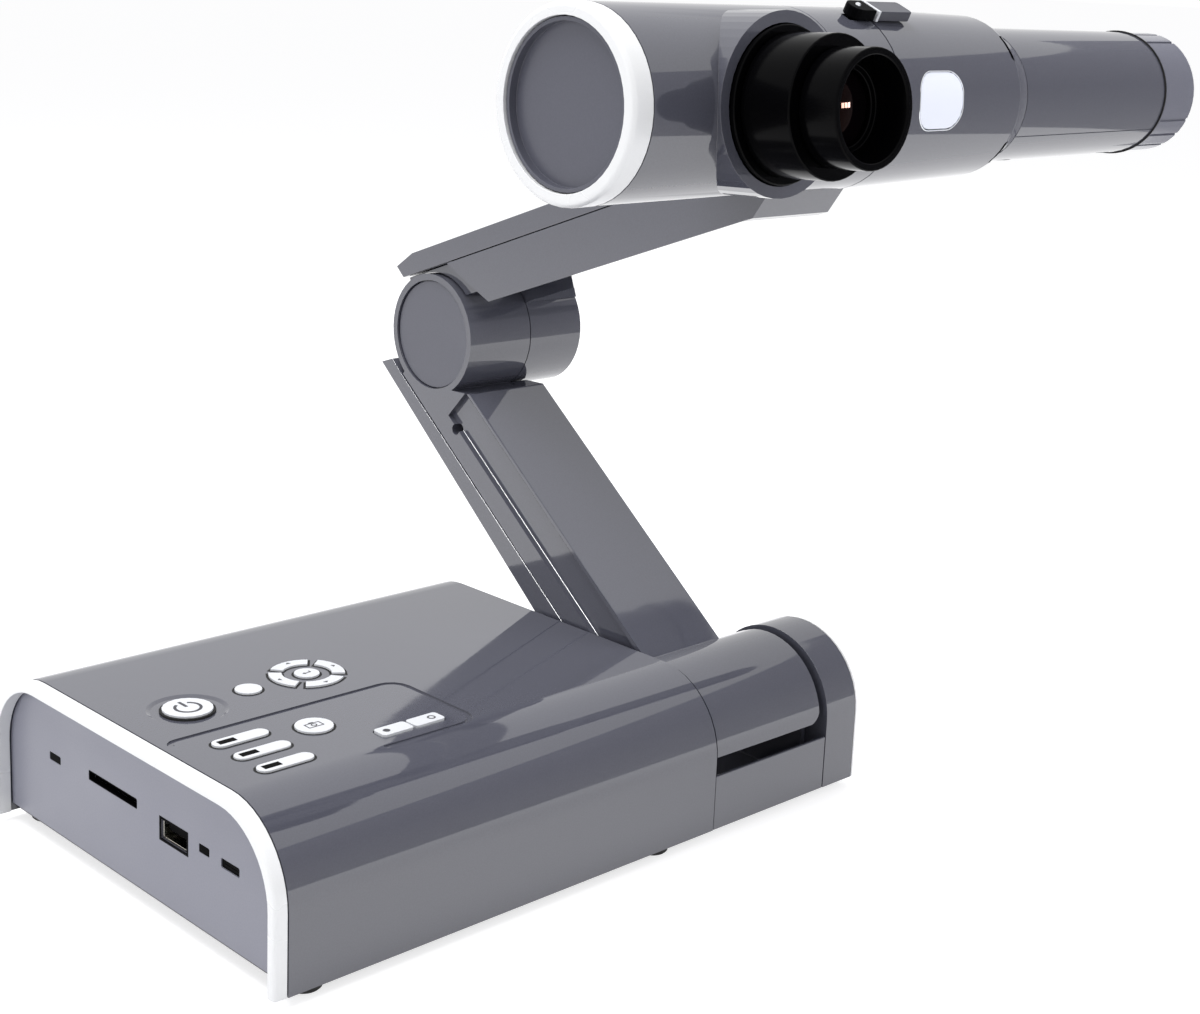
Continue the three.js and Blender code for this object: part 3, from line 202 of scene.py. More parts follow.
# A bright sheet on the left, screened so that only the arm's gloss sees it.
# It draws the thin lights on the arm's edges.
edge_softbox = softbox("edge_softbox", (-1100, 250, 420), (130, 60, 130), 0.8, 0.8, 50)
edge_softbox.visible_diffuse = False
edge_lit = bpy.data.collections.new("edge_lit")
edge_softbox.light_linking.receiver_collection = edge_lit

# Feet
# Four round pads of black rubber, each moulded with a ring of tread and pressed onto a stud of the
# plate. They are alike, so one is drawn and a grid of two by two repeats it.


def made_plain(piece):
    """A piece's mesh as its modifiers or its curve make it."""
    result = piece.evaluated_get(bpy.context.evaluated_depsgraph_get())
    return bpy.data.meshes.new_from_object(result)


def repeated(name, copy, columns, rows, length, width, place, material):
    """Copies of a small mesh on a level grid about a place, made plain by Geometry Nodes."""
    tree = bpy.data.node_groups.new(name + "_grid", "GeometryNodeTree")
    tree.is_modifier = True
    face = tree.interface
    sockets = {}
    for label, kind in (("Copy", "NodeSocketObject"), ("Columns", "NodeSocketInt"),
                        ("Rows", "NodeSocketInt"), ("Length", "NodeSocketFloat"),
                        ("Width", "NodeSocketFloat"), ("Place", "NodeSocketVector"),
                        ("Finish", "NodeSocketMaterial")):
        sockets[label] = face.new_socket(label, in_out="INPUT", socket_type=kind).identifier
    face.new_socket("Geometry", in_out="OUTPUT", socket_type="NodeSocketGeometry")
    given = add(tree, "NodeGroupInput").outputs
    grid = add(tree, "GeometryNodeMeshGrid", size_x=given["Length"], size_y=given["Width"],
               vertices_x=given["Columns"], vertices_y=given["Rows"])
    moved = add(tree, "GeometryNodeTransform", geometry=grid.outputs["Mesh"],
                translation=given["Place"])
    one = add(tree, "GeometryNodeObjectInfo", object=given["Copy"])
    copies = add(tree, "GeometryNodeInstanceOnPoints", points=moved.outputs[0],
                 instance=one.outputs["Geometry"])
    real = add(tree, "GeometryNodeRealizeInstances", geometry=copies.outputs[0])
    finished_off = add(tree, "GeometryNodeSetMaterial", geometry=real.outputs[0],
                       material=given["Finish"])
    add(tree, "NodeGroupOutput", i0=finished_off.outputs[0])
    carrier = bpy.data.objects.new(name, bpy.data.meshes.new(name))
    bpy.context.scene.collection.objects.link(carrier)
    one_copy = bpy.data.objects.new(name + "_one", copy)
    maker = carrier.modifiers.new("grid", "NODES")
    maker.node_group = tree
    for label, value in (("Copy", one_copy), ("Columns", columns), ("Rows", rows),
                         ("Length", length), ("Width", width), ("Place", place),
                         ("Finish", material)):
        maker[sockets[label]] = value
    mesh = made_plain(carrier)
    carrier.modifiers.clear()
    bpy.data.objects.remove(one_copy)
    carrier.data = mesh
    mesh.name = name
    return carrier


def closed(name, shape):
    """Turns a drawn shape's faces outwards and makes it a plain mesh."""
    bmesh.ops.recalc_face_normals(shape, faces=shape.faces)
    mesh = bpy.data.meshes.new(name)
    shape.to_mesh(mesh)
    shape.free()
    return mesh


def lathe(name, profile, steps=48, axis="Z"):
    """A closed solid turned from points of radius and height in millimetres, round one axis."""
    shape = bmesh.new()
    rings = []
    for radius, height in profile:
        turns = [2 * math.pi * i / steps for i in range(steps if radius > 0 else 1)]
        rings.append([shape.verts.new((radius * math.cos(turn) * MM, radius * math.sin(turn) * MM,
                                       height * MM)) for turn in turns])
    for lower, upper in zip(rings, rings[1:] + rings[:1]):
        if len(lower) == len(upper) == 1:
            continue
        for i in range(steps):
            j = (i + 1) % steps
            around = [lower[i % len(lower)], lower[j % len(lower)], upper[j % len(upper)],
                      upper[i % len(upper)]]
            shape.faces.new(list(dict.fromkeys(around)))
    if axis == "X":
        bmesh.ops.rotate(shape, verts=shape.verts, matrix=Matrix.Rotation(math.pi / 2, 3, "Y"))
    mesh = closed(name, shape)
    mesh.shade_smooth()
    mesh.set_sharp_from_angle(angle=math.radians(35))
    return mesh


# Natural rubber with carbon black: near black and matt. A fine moulded grain greys its edges.
rubber = bpy.data.materials.new("black_rubber")
rubber.use_nodes = True
rubber.node_tree.nodes.clear()
rubber_grain_mm, rubber_grain_depth_mm = 0.5, 0.05
place = add(rubber.node_tree, "ShaderNodeTexCoord").outputs["Object"]
grain = add(rubber.node_tree, "ShaderNodeTexNoise", vector=place, scale=1 / (rubber_grain_mm * MM))
tone = add(rubber.node_tree, "ShaderNodeMix", {"data_type": "RGBA"}, i0=grain.outputs["Fac"],
           i6=linear("#101010"), i7=linear("#242424"))
dent = add(rubber.node_tree, "ShaderNodeBump", strength=0.4, distance=rubber_grain_depth_mm * MM,
           height=grain.outputs["Fac"])
skin = add(rubber.node_tree, "ShaderNodeBsdfPrincipled", base_color=tone.outputs[2], roughness=0.75,
           normal=dent.outputs[0])
add(rubber.node_tree, "ShaderNodeOutputMaterial", surface=skin.outputs[0])

foot_radius, foot_height, foot_bevel, tread_depth = 5.0, 2.7, 0.5, 0.4
foot = lathe("foot_pad", [(0, tread_depth), (1.6, tread_depth), (2.0, 0), (3.0, 0),
                          (3.4, tread_depth), (3.8, 0), (foot_radius - foot_bevel, 0),
                          (foot_radius, foot_bevel), (foot_radius, foot_height), (0, foot_height)])
first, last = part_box("foot_1"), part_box("foot_4")
middle_of_feet = (first[0] + last[1]) / 2
feet = repeated("rubber_feet", foot, columns=2, rows=2, length=last[0].x - first[0].x,
                width=last[0].y - first[0].y,
                place=(middle_of_feet.x, middle_of_feet.y, first[0].z), material=rubber)
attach(feet, "base")
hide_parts("foot_1", "foot_2", "foot_3", "foot_4")

# Bottom plate
# The base's floor: an injection moulding in the same grey ABS as the case, with four board posts.
# It drops into the case from below and is screwed through the feet's studs.


def moulded(name, colour, speckle, roughness, smear, grain_mm=0.45, ripple=0.12, **shader):
    """Moulded plastic: its colour with a fine speckle, a gloss that varies, and a faint ripple."""
    material = bpy.data.materials.new(name)
    material.use_nodes = True
    tree = material.node_tree
    tree.nodes.clear()
    place = add(tree, "ShaderNodeTexCoord").outputs["Object"]
    # A real mould's grain is too fine to show here, so it is drawn as coarse as it needs to be.
    fine = add(tree, "ShaderNodeTexNoise", vector=place, scale=1 / (grain_mm * MM), detail=3.0)
    tone = add(tree, "ShaderNodeMix", {"data_type": "RGBA"}, i0=fine.outputs["Fac"],
               i6=linear(colour), i7=linear(speckle))
    smear_mm = 24.0
    broad = add(tree, "ShaderNodeTexNoise", vector=place, scale=1 / (smear_mm * MM), detail=2.0)
    gloss = add(tree, "ShaderNodeMapRange", value=broad.outputs["Fac"], from_min=0.3, from_max=0.7,
                to_min=roughness - smear, to_max=roughness + smear)
    ripple_mm, ripple_depth_mm = 5.0, 0.05
    wave = add(tree, "ShaderNodeTexNoise", vector=place, scale=1 / (ripple_mm * MM), detail=1.0)
    dent = add(tree, "ShaderNodeBump", strength=ripple, distance=ripple_depth_mm * MM,
               height=wave.outputs["Fac"])
    surface = add(tree, "ShaderNodeBsdfPrincipled", base_color=tone.outputs[2],
                  roughness=gloss.outputs[0], normal=dent.outputs[0], **shader)
    add(tree, "ShaderNodeOutputMaterial", surface=surface.outputs[0])
    return material


def smooth_shaded(mesh, crease, axes):
    """Shades flats flat, softened edges round, and the facets round each axis as one true round."""
    around = [[] for _ in mesh.vertices]
    for face in mesh.polygons:
        for vertex in face.vertices:
            around[vertex].append((face.normal.copy(), face.area))
    near_enough = math.cos(math.radians(crease))
    # A face whose mean width is more than this is a flat.
    broad = 1.0 * MM
    # A round's facet isn't an end face, and it stands square to the radius within this turn.
    end_face, facet_turn = 0.05, 8.2
    facet = math.cos(math.radians(facet_turn))
    normals = [None] * len(mesh.loops)
    for face in mesh.polygons:
        length = max((mesh.vertices[a].co - mesh.vertices[b].co).length for a, b in face.edge_keys)
        turned_about = None
        for centre, along, near, far in axes:
            lean = face.normal.dot(along)
            across = face.normal - lean * along
            outs = [mesh.vertices[vertex].co - centre for vertex in face.vertices]
            outs = [out - out.dot(along) * along for out in outs]
            if across.length > end_face and all(
                    near * MM < out.length < far * MM
                    and abs(across.normalized().dot(out.normalized())) > facet for out in outs):
                turned_about = centre, along, math.copysign(1, across.dot(outs[0]))
                break
        for index in face.loop_indices:
            vertex = mesh.loops[index].vertex_index
            total = Vector((0, 0, 0))
            for normal, area in around[vertex]:
                if normal.dot(face.normal) > near_enough:
                    total += normal * area
            normal = total.normalized()
            if turned_about:
                centre, along, side = turned_about
                out = mesh.vertices[vertex].co - centre
                out -= out.dot(along) * along
                lean = normal.dot(along)
                across = side * math.sqrt(max(0, 1 - lean * lean))
                normal = lean * along + across * out.normalized()
            elif face.area > broad * length:
                normal = face.normal.copy()
            normals[index] = normal
    mesh.normals_split_custom_set(normals)


def placed(name, mesh, body, material, edge=0.0, crease=35, axes=(), shortest=0):
    """Softens a mesh's edges, shades its rounds, and gives it its material and body.

    The edge is in millimetres. Only edges sharper than the crease and longer than the shortest are
    softened.
    """
    past_crease = 12
    mesh.materials.clear()
    mesh.materials.append(material)
    piece = bpy.data.objects.new(name, mesh)
    bpy.context.scene.collection.objects.link(piece)
    if edge:
        shape = bmesh.new()
        shape.from_mesh(mesh)
        chosen = shape.edges.layers.float.new("bevel_weight_edge")
        for rim in shape.edges:
            if rim.calc_face_angle(0) > math.radians(crease) and rim.calc_length() > shortest * MM:
                rim[chosen] = 1.0
        shape.to_mesh(mesh)
        shape.free()
        soften = piece.modifiers.new("edge", "BEVEL")
        soften.width = edge * MM
        soften.segments = 2
        soften.use_clamp_overlap = not shortest
        soften.limit_method = "WEIGHT"
        soften.miter_outer = "MITER_ARC"
    made = made_plain(piece)
    piece.modifiers.clear()
    piece.data = made
    made.name = name
    made.shade_smooth()
    smooth_shaded(made, crease + past_crease, axes)
    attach(piece, body)
    return piece


weld = 0.002 * MM


def finished(node, body, material, edge, axes=(), shortest=0):
    """The real piece for a CAD solid: the same shape with softened edges and smooth rounds."""
    flat_within = math.radians(0.6)
    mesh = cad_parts[node].data.copy()
    shape = bmesh.new()
    shape.from_mesh(mesh)
    bmesh.ops.remove_doubles(shape, verts=shape.verts, dist=weld)
    bmesh.ops.dissolve_limit(shape, angle_limit=flat_within, verts=shape.verts, edges=shape.edges)
    shape.to_mesh(mesh)
    shape.free()
    piece = placed(node + "_piece", mesh, body, material, edge, axes=axes, shortest=shortest)
    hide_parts(node)
    return piece


# Textured ABS, as on an underside: grey and half matt.
matt_abs = moulded("matt_grey_abs", "#4c4c52", "#55555b", roughness=0.5, smear=0.05)
finished("bottom_plate", "base", matt_abs, edge=0.4)

# Boards and ballast
# The main board on the plate's posts, the key board under the case's top, and a steel weight plate
# that holds the base down. None shows from outside, so the solids stay and get real finishes.


def kept(node, material):
    """Leaves a solid as it is and gives it a finish."""
    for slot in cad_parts[node].material_slots:
        slot.link = "OBJECT"
        slot.material = material


# Solder resist over glass laminate: satin green, with a weave that shows as faint squares.
resist = bpy.data.materials.new("green_solder_resist")
resist.use_nodes = True
resist.node_tree.nodes.clear()
track_mm = 2.5
place = add(resist.node_tree, "ShaderNodeTexCoord").outputs["Object"]
tracks = add(resist.node_tree, "ShaderNodeTexBrick", vector=place, scale=1 / (track_mm * MM),
             color1=linear("#1c5a38"), color2=linear("#1a5334"), mortar=linear("#2f7a4c"))
board_face = add(resist.node_tree, "ShaderNodeBsdfPrincipled", base_color=tracks.outputs["Color"],
                 roughness=0.35)
add(resist.node_tree, "ShaderNodeOutputMaterial", surface=board_face.outputs[0])
kept("main_board", resist)
kept("keypad_board", resist)


def bare_metal(name, colour, grain_mm, smoothest, roughest, stretch=(1, 1, 1)):
    """Metal: one colour, and a roughness that follows a fine grain, which can be drawn out."""
    material = bpy.data.materials.new(name)
    material.use_nodes = True
    tree = material.node_tree
    tree.nodes.clear()
    place = add(tree, "ShaderNodeTexCoord").outputs["Object"]
    # Like the plastics' grain, a metal's is drawn coarser than it is.
    drawn = add(tree, "ShaderNodeMapping", vector=place, scale=stretch)
    grain = add(tree, "ShaderNodeTexNoise", vector=drawn.outputs[0], scale=1 / (grain_mm * MM))
    shine = add(tree, "ShaderNodeMapRange", value=grain.outputs["Fac"], to_min=smoothest,
                to_max=roughest)
    surface = add(tree, "ShaderNodeBsdfPrincipled", base_color=linear(colour), metallic=1.0,
                  roughness=shine.outputs[0])
    add(tree, "ShaderNodeOutputMaterial", surface=surface.outputs[0])
    return material


# Cold-rolled steel: a bright grey metal with fine rolling lines along X.
steel = bare_metal("rolled_steel", "#b9bcc0", grain_mm=0.4, smoothest=0.2, roughest=0.42,
                   stretch=(0.03, 1, 1))
kept("ballast_plate", steel)

# Top case
# The base's cover: one injection moulding in glossy grey ABS with rounded front and back edges,
# with its button holes, a pressed line round the key field and a shallow dish round the power key.
# Gloss ABS: a polished mould and a hard clear coat give sharp bands of light over a mid grey.
gloss_abs = moulded("gloss_grey_abs", "#494a54", "#53545f", roughness=0.05, smear=0.02, ior=1.85)
case_low, case_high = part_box("top_case")
along_x = Vector((1, 0, 0))
edge_radius, case_wall, facet_slack = 25.5, 3, 0.3
case_rounds = [Vector((0, y, case_high.z - edge_radius * MM))
               for y in (case_low.y + edge_radius * MM, case_high.y - edge_radius * MM)]
case_axes = [(middle, along_x, edge_radius - case_wall, edge_radius + facet_slack)
             for middle in case_rounds]
finished("top_case", "base", gloss_abs, edge=0.3, axes=case_axes)

# Push buttons
# Thirteen keys moulded in white satin plastic on rubber domes: round, oblong, a ring of four with
# a centre, and a rocker in two halves. Symbols are printed on them in dark ink.
# Satin white ABS: pale, cool and even, with a soft sheen.
white_key = moulded("satin_white_abs", "#d8dadf", "#d1d3d8", roughness=0.38, smear=0.04,
                    ripple=0.05)
keys = ["power_button", "menu_button", "pad_right", "pad_up", "pad_left", "pad_down", "pad_centre",
        "capture_button", "source_key_1", "source_key_2", "source_key_3", "zoom_key_out",
        "zoom_key_in"]
for key in keys:
    finished(key, key, white_key, edge=0.25)


def gap_shade_ring(key):
    """A dark rubber ring round a key, flush with the case: painted shade for the shadow in the gap.
    """
    near, far = 0.04, 0.75
    upright, mitre_limit = 0.1, 0.5
    shade_ring_proud, shade_ring_depth = 0.03 * MM, 1.0 * MM
    shape = bmesh.new()
    shape.from_mesh(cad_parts[key].data)
    bmesh.ops.remove_doubles(shape, verts=shape.verts, dist=weld)
    crown = max(v.co.z for v in shape.verts)
    rim = [e for e in shape.edges if all(v.co.z > crown - 5 * weld for v in e.verts)
           and any(abs(f.normal.z) < upright for f in e.link_faces)]
    corners = {}
    for line in rim:
        wall = next(f.normal for f in line.link_faces if abs(f.normal.z) < upright)
        for end in line.verts:
            corners.setdefault(end, []).append((wall.copy(), line.other_vert(end)))
    start = next(iter(corners))
    chain, last = [start], None
    while True:
        ahead_of = [other for _, other in corners[chain[-1]] if other is not last]
        last = chain[-1]
        if ahead_of[0] is start:
            break
        chain.append(ahead_of[0])
    shade_ring = bmesh.new()
    top, bottom = case_high.z + shade_ring_proud, case_high.z - shade_ring_depth
    rings = []
    for offset, height in ((near, bottom), (near, top), (far, top), (far, bottom)):
        ring_points = []
        for vertex in chain:
            (first_wall, _), (second_wall, _) = corners[vertex]
            outwards = (first_wall + second_wall).normalized()
            outwards /= max(mitre_limit, outwards.dot(first_wall))
            flat_place = vertex.co + outwards * offset * MM
            ring_points.append(shade_ring.verts.new((flat_place.x, flat_place.y, height)))
        rings.append(ring_points)
    for inner, outer in zip(rings, rings[1:] + rings[:1]):
        for i in range(len(chain)):
            j = (i + 1) % len(chain)
            shade_ring.faces.new((inner[i], inner[j], outer[j], outer[i]))
    shape.free()
    placed(key + "_lip", closed(key + "_lip", shade_ring), "base", rubber, crease=40)


# Painted shade: a dark ring in the gap round every key but the zoom rocker's halves.
for key in keys:
    if not key.startswith("zoom_key"):
        gap_shade_ring(key)
# Printing ink: flat, dark grey, a little uneven where it lies thin.
ink = moulded("dark_key_ink", "#34343a", "#3c3c42", roughness=0.45, smear=0.05, ripple=0.0)
# Smoked acrylic: black and glossy, over a lamp that is off.
smoked = moulded("smoked_acrylic", "#020203", "#040405", roughness=0.12, smear=0.02, ripple=0.03,
                 ior=1.06)


def bow(x, y, radius, start, end, steps=20):
    """Points on an arc, in millimetres and degrees."""
    return [(x + radius * math.cos(math.radians(start + (end - start) * i / steps)),
             y + radius * math.sin(math.radians(start + (end - start) * i / steps)))
            for i in range(steps + 1)]


def printed(name, key, outlines, material=ink):
    """A thin layer on a key's top: outlines in millimetres from the key's middle."""
    sunk, proud = 0.1, 0.05
    low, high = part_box(key)
    centre = Vector(((low.x + high.x) / 2, (low.y + high.y) / 2, high.z))
    shape = bmesh.new()
    for outline in outlines:
        floor_points = [shape.verts.new(centre + Vector((x, y, -sunk)) * MM) for x, y in outline]
        raised = bmesh.ops.extrude_face_region(shape, geom=[shape.faces.new(floor_points)])
        bmesh.ops.translate(shape, vec=Vector((0, 0, (sunk + proud) * MM)),
                            verts=[v for v in raised["geom"] if isinstance(v, bmesh.types.BMVert)])
    placed(name, closed(name, shape), key, material, crease=40)


printed("power_symbol", "power_button", [
    bow(0, -0.2, 4.2, 118, 422) + bow(0, -0.2, 3.3, 422, 118),
    [(-0.5, 0.4), (0.5, 0.4), (0.5, 4.8), (-0.5, 4.8)]])
printed("camera_symbol", "capture_button", [
    [(-2.6, -1.5), (2.6, -1.5), (2.6, -1.15), (-2.6, -1.15)],
    [(-2.6, 1.15), (2.6, 1.15), (2.6, 1.5), (-2.6, 1.5)],
    [(-2.6, -1.2), (-2.25, -1.2), (-2.25, 1.2), (-2.6, 1.2)],
    [(2.25, -1.2), (2.6, -1.2), (2.6, 1.2), (2.25, 1.2)],
    [(-1.0, 1.45), (1.0, 1.45), (0.7, 2.0), (-0.7, 2.0)],
    bow(0, 0, 0.95, 0, 350) + bow(0, 0, 0.6, 350, 0)])
printed("enter_symbol", "pad_centre", [
    [(-1.7, -0.2), (-0.7, -0.95), (-0.7, -0.4), (1.4, -0.4), (1.4, 0.9), (1.0, 0.9), (1.0, 0.0),
     (-0.7, 0.0), (-0.7, 0.55)]])
arrow, arrow_reach = [(-0.9, -0.45), (0.9, -0.45), (0, 0.6)], Vector((0, 1.2))
for key, turn in (("pad_up", 0), ("pad_left", 90), ("pad_down", 180), ("pad_right", 270)):
    turned_by = Matrix.Rotation(math.radians(turn), 2)
    printed(key + "_arrow", key, [[tuple(turned_by @ (Vector(p) + arrow_reach)) for p in arrow]])
for key in ("source_key_1", "source_key_2", "source_key_3"):
    printed(key + "_window", key, [[(-7.2, -1.2), (-1.6, -1.2), (-1.6, 1.2), (-7.2, 1.2)]], smoked)
printed("zoom_out_dot", "zoom_key_out", [bow(-2.6, 0, 1.1, 0, 350)])
printed("zoom_in_ring", "zoom_key_in", [bow(2.2, 0, 1.3, 0, 350) + bow(2.2, 0, 0.8, 350, 0)])

# Near rim
# The frame round the socket end: a moulded ring of ABS with a silver lacquer, snapped on the case.
# Silver lacquer over ABS: aluminium flake gives a pale satin metal, whiter than real metal.
silver = moulded("silver_lacquer", "#e9eaec", "#f0f1f2", roughness=0.3, smear=0.05, grain_mm=0.3,
                 ripple=0.06, metallic=0.15)
rim_width = 6
rim_axes = [(middle, along_x, edge_radius - rim_width, edge_radius + facet_slack)
            for middle in case_rounds]
finished("near_rim", "base", silver, edge=0.25, axes=rim_axes)

# Socket panel
# A flat plate of grey ABS set back in the rim, moulded with a satin texture and five openings.
# Satin ABS: the texture breaks the reflections up, so it looks lighter and flatter than the case.
satin_abs = moulded("satin_grey_abs", "#797a87", "#858693", roughness=0.34, smear=0.04,
                    grain_mm=0.5, ripple=0.15, ior=1.6)
finished("socket_panel", "base", satin_abs, edge=0.15)

# Sockets and windows
# Behind the panel: a USB socket in its drawn steel shell, a card socket, the lock's steel plate
# and two windows of smoked acrylic. Dark frames and plates in the openings are painted shade.
# Contacts stand in rows, so each row repeats one strip.
finished("remote_window", "base", smoked, edge=0.1)
finished("status_window", "base", smoked, edge=0.1)
panel_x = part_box("socket_panel")[0].x


def shade_liner(name, middle, size, wall, depth, proud, material):
    """A dark frame round an opening in the panel, or a plate where the wall fills it: painted shade
    for the dark inside.
    """
    shape = bmesh.new()
    rings = []
    for inset in (0.0, wall):
        half_y, half_z = (size[0] / 2 - inset) * MM, (size[1] / 2 - inset) * MM
        for x in (panel_x - proud * MM, panel_x + depth * MM):
            rings.append([shape.verts.new((x, middle.y + y * half_y, middle.z + z * half_z))
                          for y, z in ((-1, -1), (1, -1), (1, 1), (-1, 1))])
    for i in range(4):
        j = (i + 1) % 4
        for a, b in ((0, 1), (1, 3), (3, 2), (2, 0)):
            shape.faces.new((rings[a][i], rings[a][j], rings[b][j], rings[b][i]))
    placed(name, closed(name, shape), "base", material)


def middle_of(node):
    """The middle of a solid's box."""
    low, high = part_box(node)
    return (low + high) / 2


# Painted shade: dark plates behind the two smoked windows, for the dark inside behind them.
for window, width in (("remote", 6.3), ("status", 4.9)):
    shade_liner(window + "_liner", middle_of(window + "_window"), size=(width, 2.4), wall=1.19,
          depth=0.9, proud=-0.1, material=smoked)
# Nickel plate on steel: bright, with a faint warm tone and hardly any grain.
nickel = bare_metal("nickel_plate", "#f0ece2", grain_mm=1.5, smoothest=0.12, roughest=0.26)
finished("usb_shell", "base", nickel, edge=0.08)
# Glass-filled nylon: black and matt, with a little grey bloom.
nylon = moulded("black_nylon", "#050506", "#09090b", roughness=0.5, smear=0.06, grain_mm=0.8,
                ior=1.08)
# Black oxide over steel: near black, with a dull sheen.
black_steel = moulded("black_oxide_steel", "#141417", "#1c1c20", roughness=0.35, smear=0.06,
                      grain_mm=0.3, metallic=0.6)
finished("usb_tongue", "base", nylon, edge=0.08)
finished("card_socket", "base", nylon, edge=0.15)
finished("lock_plate", "base", black_steel, edge=0.08)
# Painted shade: a dark frame in the card slot, a plate in the lock's slot and a black ring round
# the USB shell.
card_slot_rise = Vector((0, 0, 1.3 * MM))
shade_liner("card_liner", middle_of("card_socket") + card_slot_rise, size=(26.3, 2.9), wall=0.2,
      depth=1.9, proud=0.0, material=nylon)
shade_liner("lock_liner", middle_of("lock_plate"), size=(8.5, 2.6), wall=1.2, depth=1.0, proud=-0.4,
      material=nylon)
shade_liner("usb_gasket", middle_of("usb_shell"), size=(14.6, 7.2), wall=0.75, depth=0.2, proud=0.05,
      material=nylon)

# Gold flash over copper: a deep yellow metal, smooth enough to glint in a dark socket.
gold = bare_metal("gold_flash", "#e0b04a", grain_mm=0.2, smoothest=0.15, roughest=0.35)


def strip(name, length, width, height):
    """One contact: a flat bar with rounded ends, along X."""
    shape = bmesh.new()
    end, radius = (length - width) / 2, width / 2
    ends = bow(end, 0, radius, -90, 90, steps=4) + bow(-end, 0, radius, 90, 270, steps=4)
    lower = [shape.verts.new(Vector((x, y, -height / 2)) * MM) for x, y in ends]
    raised = bmesh.ops.extrude_face_region(shape, geom=[shape.faces.new(lower)])
    bmesh.ops.translate(shape, vec=Vector((0, 0, height * MM)),
                        verts=[v for v in raised["geom"] if isinstance(v, bmesh.types.BMVert)])
    return closed(name, shape)


tongue_low, tongue_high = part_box("usb_tongue")
usb_inset, usb_spread, tongue_thickness = 5.5 * MM, 7.0 * MM, 1.8 * MM
usb_row = (tongue_low.x + usb_inset, middle_of("usb_tongue").y, tongue_high.z - tongue_thickness)
usb_contacts = repeated("usb_contacts", strip("usb_strip", length=8.0, width=1.0, height=0.2),
                        columns=1, rows=4, length=0.0, width=usb_spread, place=usb_row,
                        material=gold)
card_low, card_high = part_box("card_socket")
card_inset, card_spread, card_floor = 6.0 * MM, 20.0 * MM, 4.1 * MM
card_row = (card_high.x - card_inset, middle_of("card_socket").y, card_low.z + card_floor)
card_contacts = repeated("card_contacts", strip("card_strip", length=6.0, width=1.1, height=0.25),
                         columns=1, rows=9, length=0.0, width=card_spread, place=card_row,
                         material=gold)
for contacts in (usb_contacts, card_contacts):
    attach(contacts, "base")

# Hinge on the base
# The fixed half of the hinge: a lower block in front of the barrel, an end cap shaped like the
# case, its lacquered trim and end plate, and the steel shaft, all screwed to the case's end wall.
hinge_low, hinge_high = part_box("hinge_cap")
hinge_inner = 14
hinge_middle = Vector((0, hinge_low.y + edge_radius * MM, hinge_high.z - edge_radius * MM))
hinge_axes = [(hinge_middle, along_x, hinge_inner, edge_radius + facet_slack)]
finished("hinge_block", "base", gloss_abs, edge=0.3, axes=hinge_axes)
finished("hinge_cap", "base", gloss_abs, edge=0.35, axes=hinge_axes)
finished("hinge_trim", "base", silver, edge=0.15, axes=hinge_axes)
finished("hinge_plate", "base", satin_abs, edge=0.2, axes=hinge_axes)
kept("hinge_shaft", steel)

# Lower link
# The lower arm: two grey mouldings glued along a seam, the front one with the hinge's barrel and
# the elbow's left half. A screw holds them together, and a thin cap closes the elbow's end.
elbow_inner, elbow_outer, barrel_inner, barrel_outer = 4, 22, 8, 25
elbow_axes = [(middle_of("elbow_disc_left"), along_x, elbow_inner, elbow_outer)]
barrel_axes = [(hinge_middle, along_x, barrel_inner, barrel_outer)]
lower_link = finished("lower_link", "lower_arm", gloss_abs, edge=0.45,
                      axes=barrel_axes + elbow_axes, shortest=25)
lower_cover = finished("lower_cover", "lower_arm", gloss_abs, edge=0.3,
                       shortest=3)
# The caps' ABS is darker than the panel's and textured alike.
cap_abs = moulded("satin_dark_grey_abs", "#50515b", "#595a65", roughness=0.34, smear=0.04,
                  grain_mm=0.5, ripple=0.15)
elbow_cap = finished("elbow_disc_left", "lower_arm", cap_abs, edge=0.3,
                     axes=elbow_axes)
for piece in (lower_link, lower_cover, elbow_cap):
    edge_lit.objects.link(piece)
kept("elbow_shaft", steel)

# A cross-recessed screw of black oxide steel, its head sunk deep in the link.
finished("link_screw", "lower_arm", black_steel, edge=0.15)

# Upper link
# The upper arm: a deep moulding with an undercut belly, a bracket that carries the elbow's right
# half, a saddle for the camera head, and a flat cover clipped on its back.
upper_link = finished("upper_link", "upper_arm", gloss_abs, edge=0.3, axes=elbow_axes,
                      shortest=60)
edge_lit.objects.link(upper_link)
finished("upper_cover", "upper_arm", gloss_abs, edge=0.3, shortest=3)
finished("elbow_disc_right", "upper_arm", cap_abs, edge=0.3, axes=elbow_axes)

# Collar and latch
# A plain ring in which the head turns, glued in the saddle. Its latch slides along a slot into the
# head's socket and carries a polished pin for the thumb.
head_inner, head_outer = 10, 27.2
head_centre = middle_of("end_ring")
head_axes = [(head_centre, along_x, head_inner, head_outer)]
finished("head_collar", "upper_arm", gloss_abs, edge=0.2, axes=head_axes)
finished("tilt_latch", "tilt_latch", nylon, edge=0.35)


def about_head(x, turn, radius):
    """A point on the head: mm along the tube, degrees forward of its top, and a radius."""
    turn = math.radians(turn)
    return Vector((corner.x + x * MM, head_centre.y - radius * math.sin(turn) * MM,
                   head_centre.z + radius * math.cos(turn) * MM))


latch_turn, latch_top, pin_inset = 24, 30.2, 3.4
# Chromium plate: a mirror with a cold tone, so the pin shows as a white point.
chrome = bare_metal("chromium_plate", "#eef1f5", grain_mm=0.6, smoothest=0.04, roughest=0.12)
pin = lathe("latch_pin", [(0, -0.6), (0.9, -0.6), (0.9, 0.1), (0.78, 0.45), (0.45, 0.7),
                          (0, 0.8)], steps=20)
pin_x = (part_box("tilt_latch")[0].x - corner.x) / MM + pin_inset
pin.transform(Matrix.Translation(about_head(pin_x, latch_turn, latch_top))
              @ Matrix.Rotation(math.radians(latch_turn), 4, "X"))
placed("latch_pin", pin, "tilt_latch", chrome)

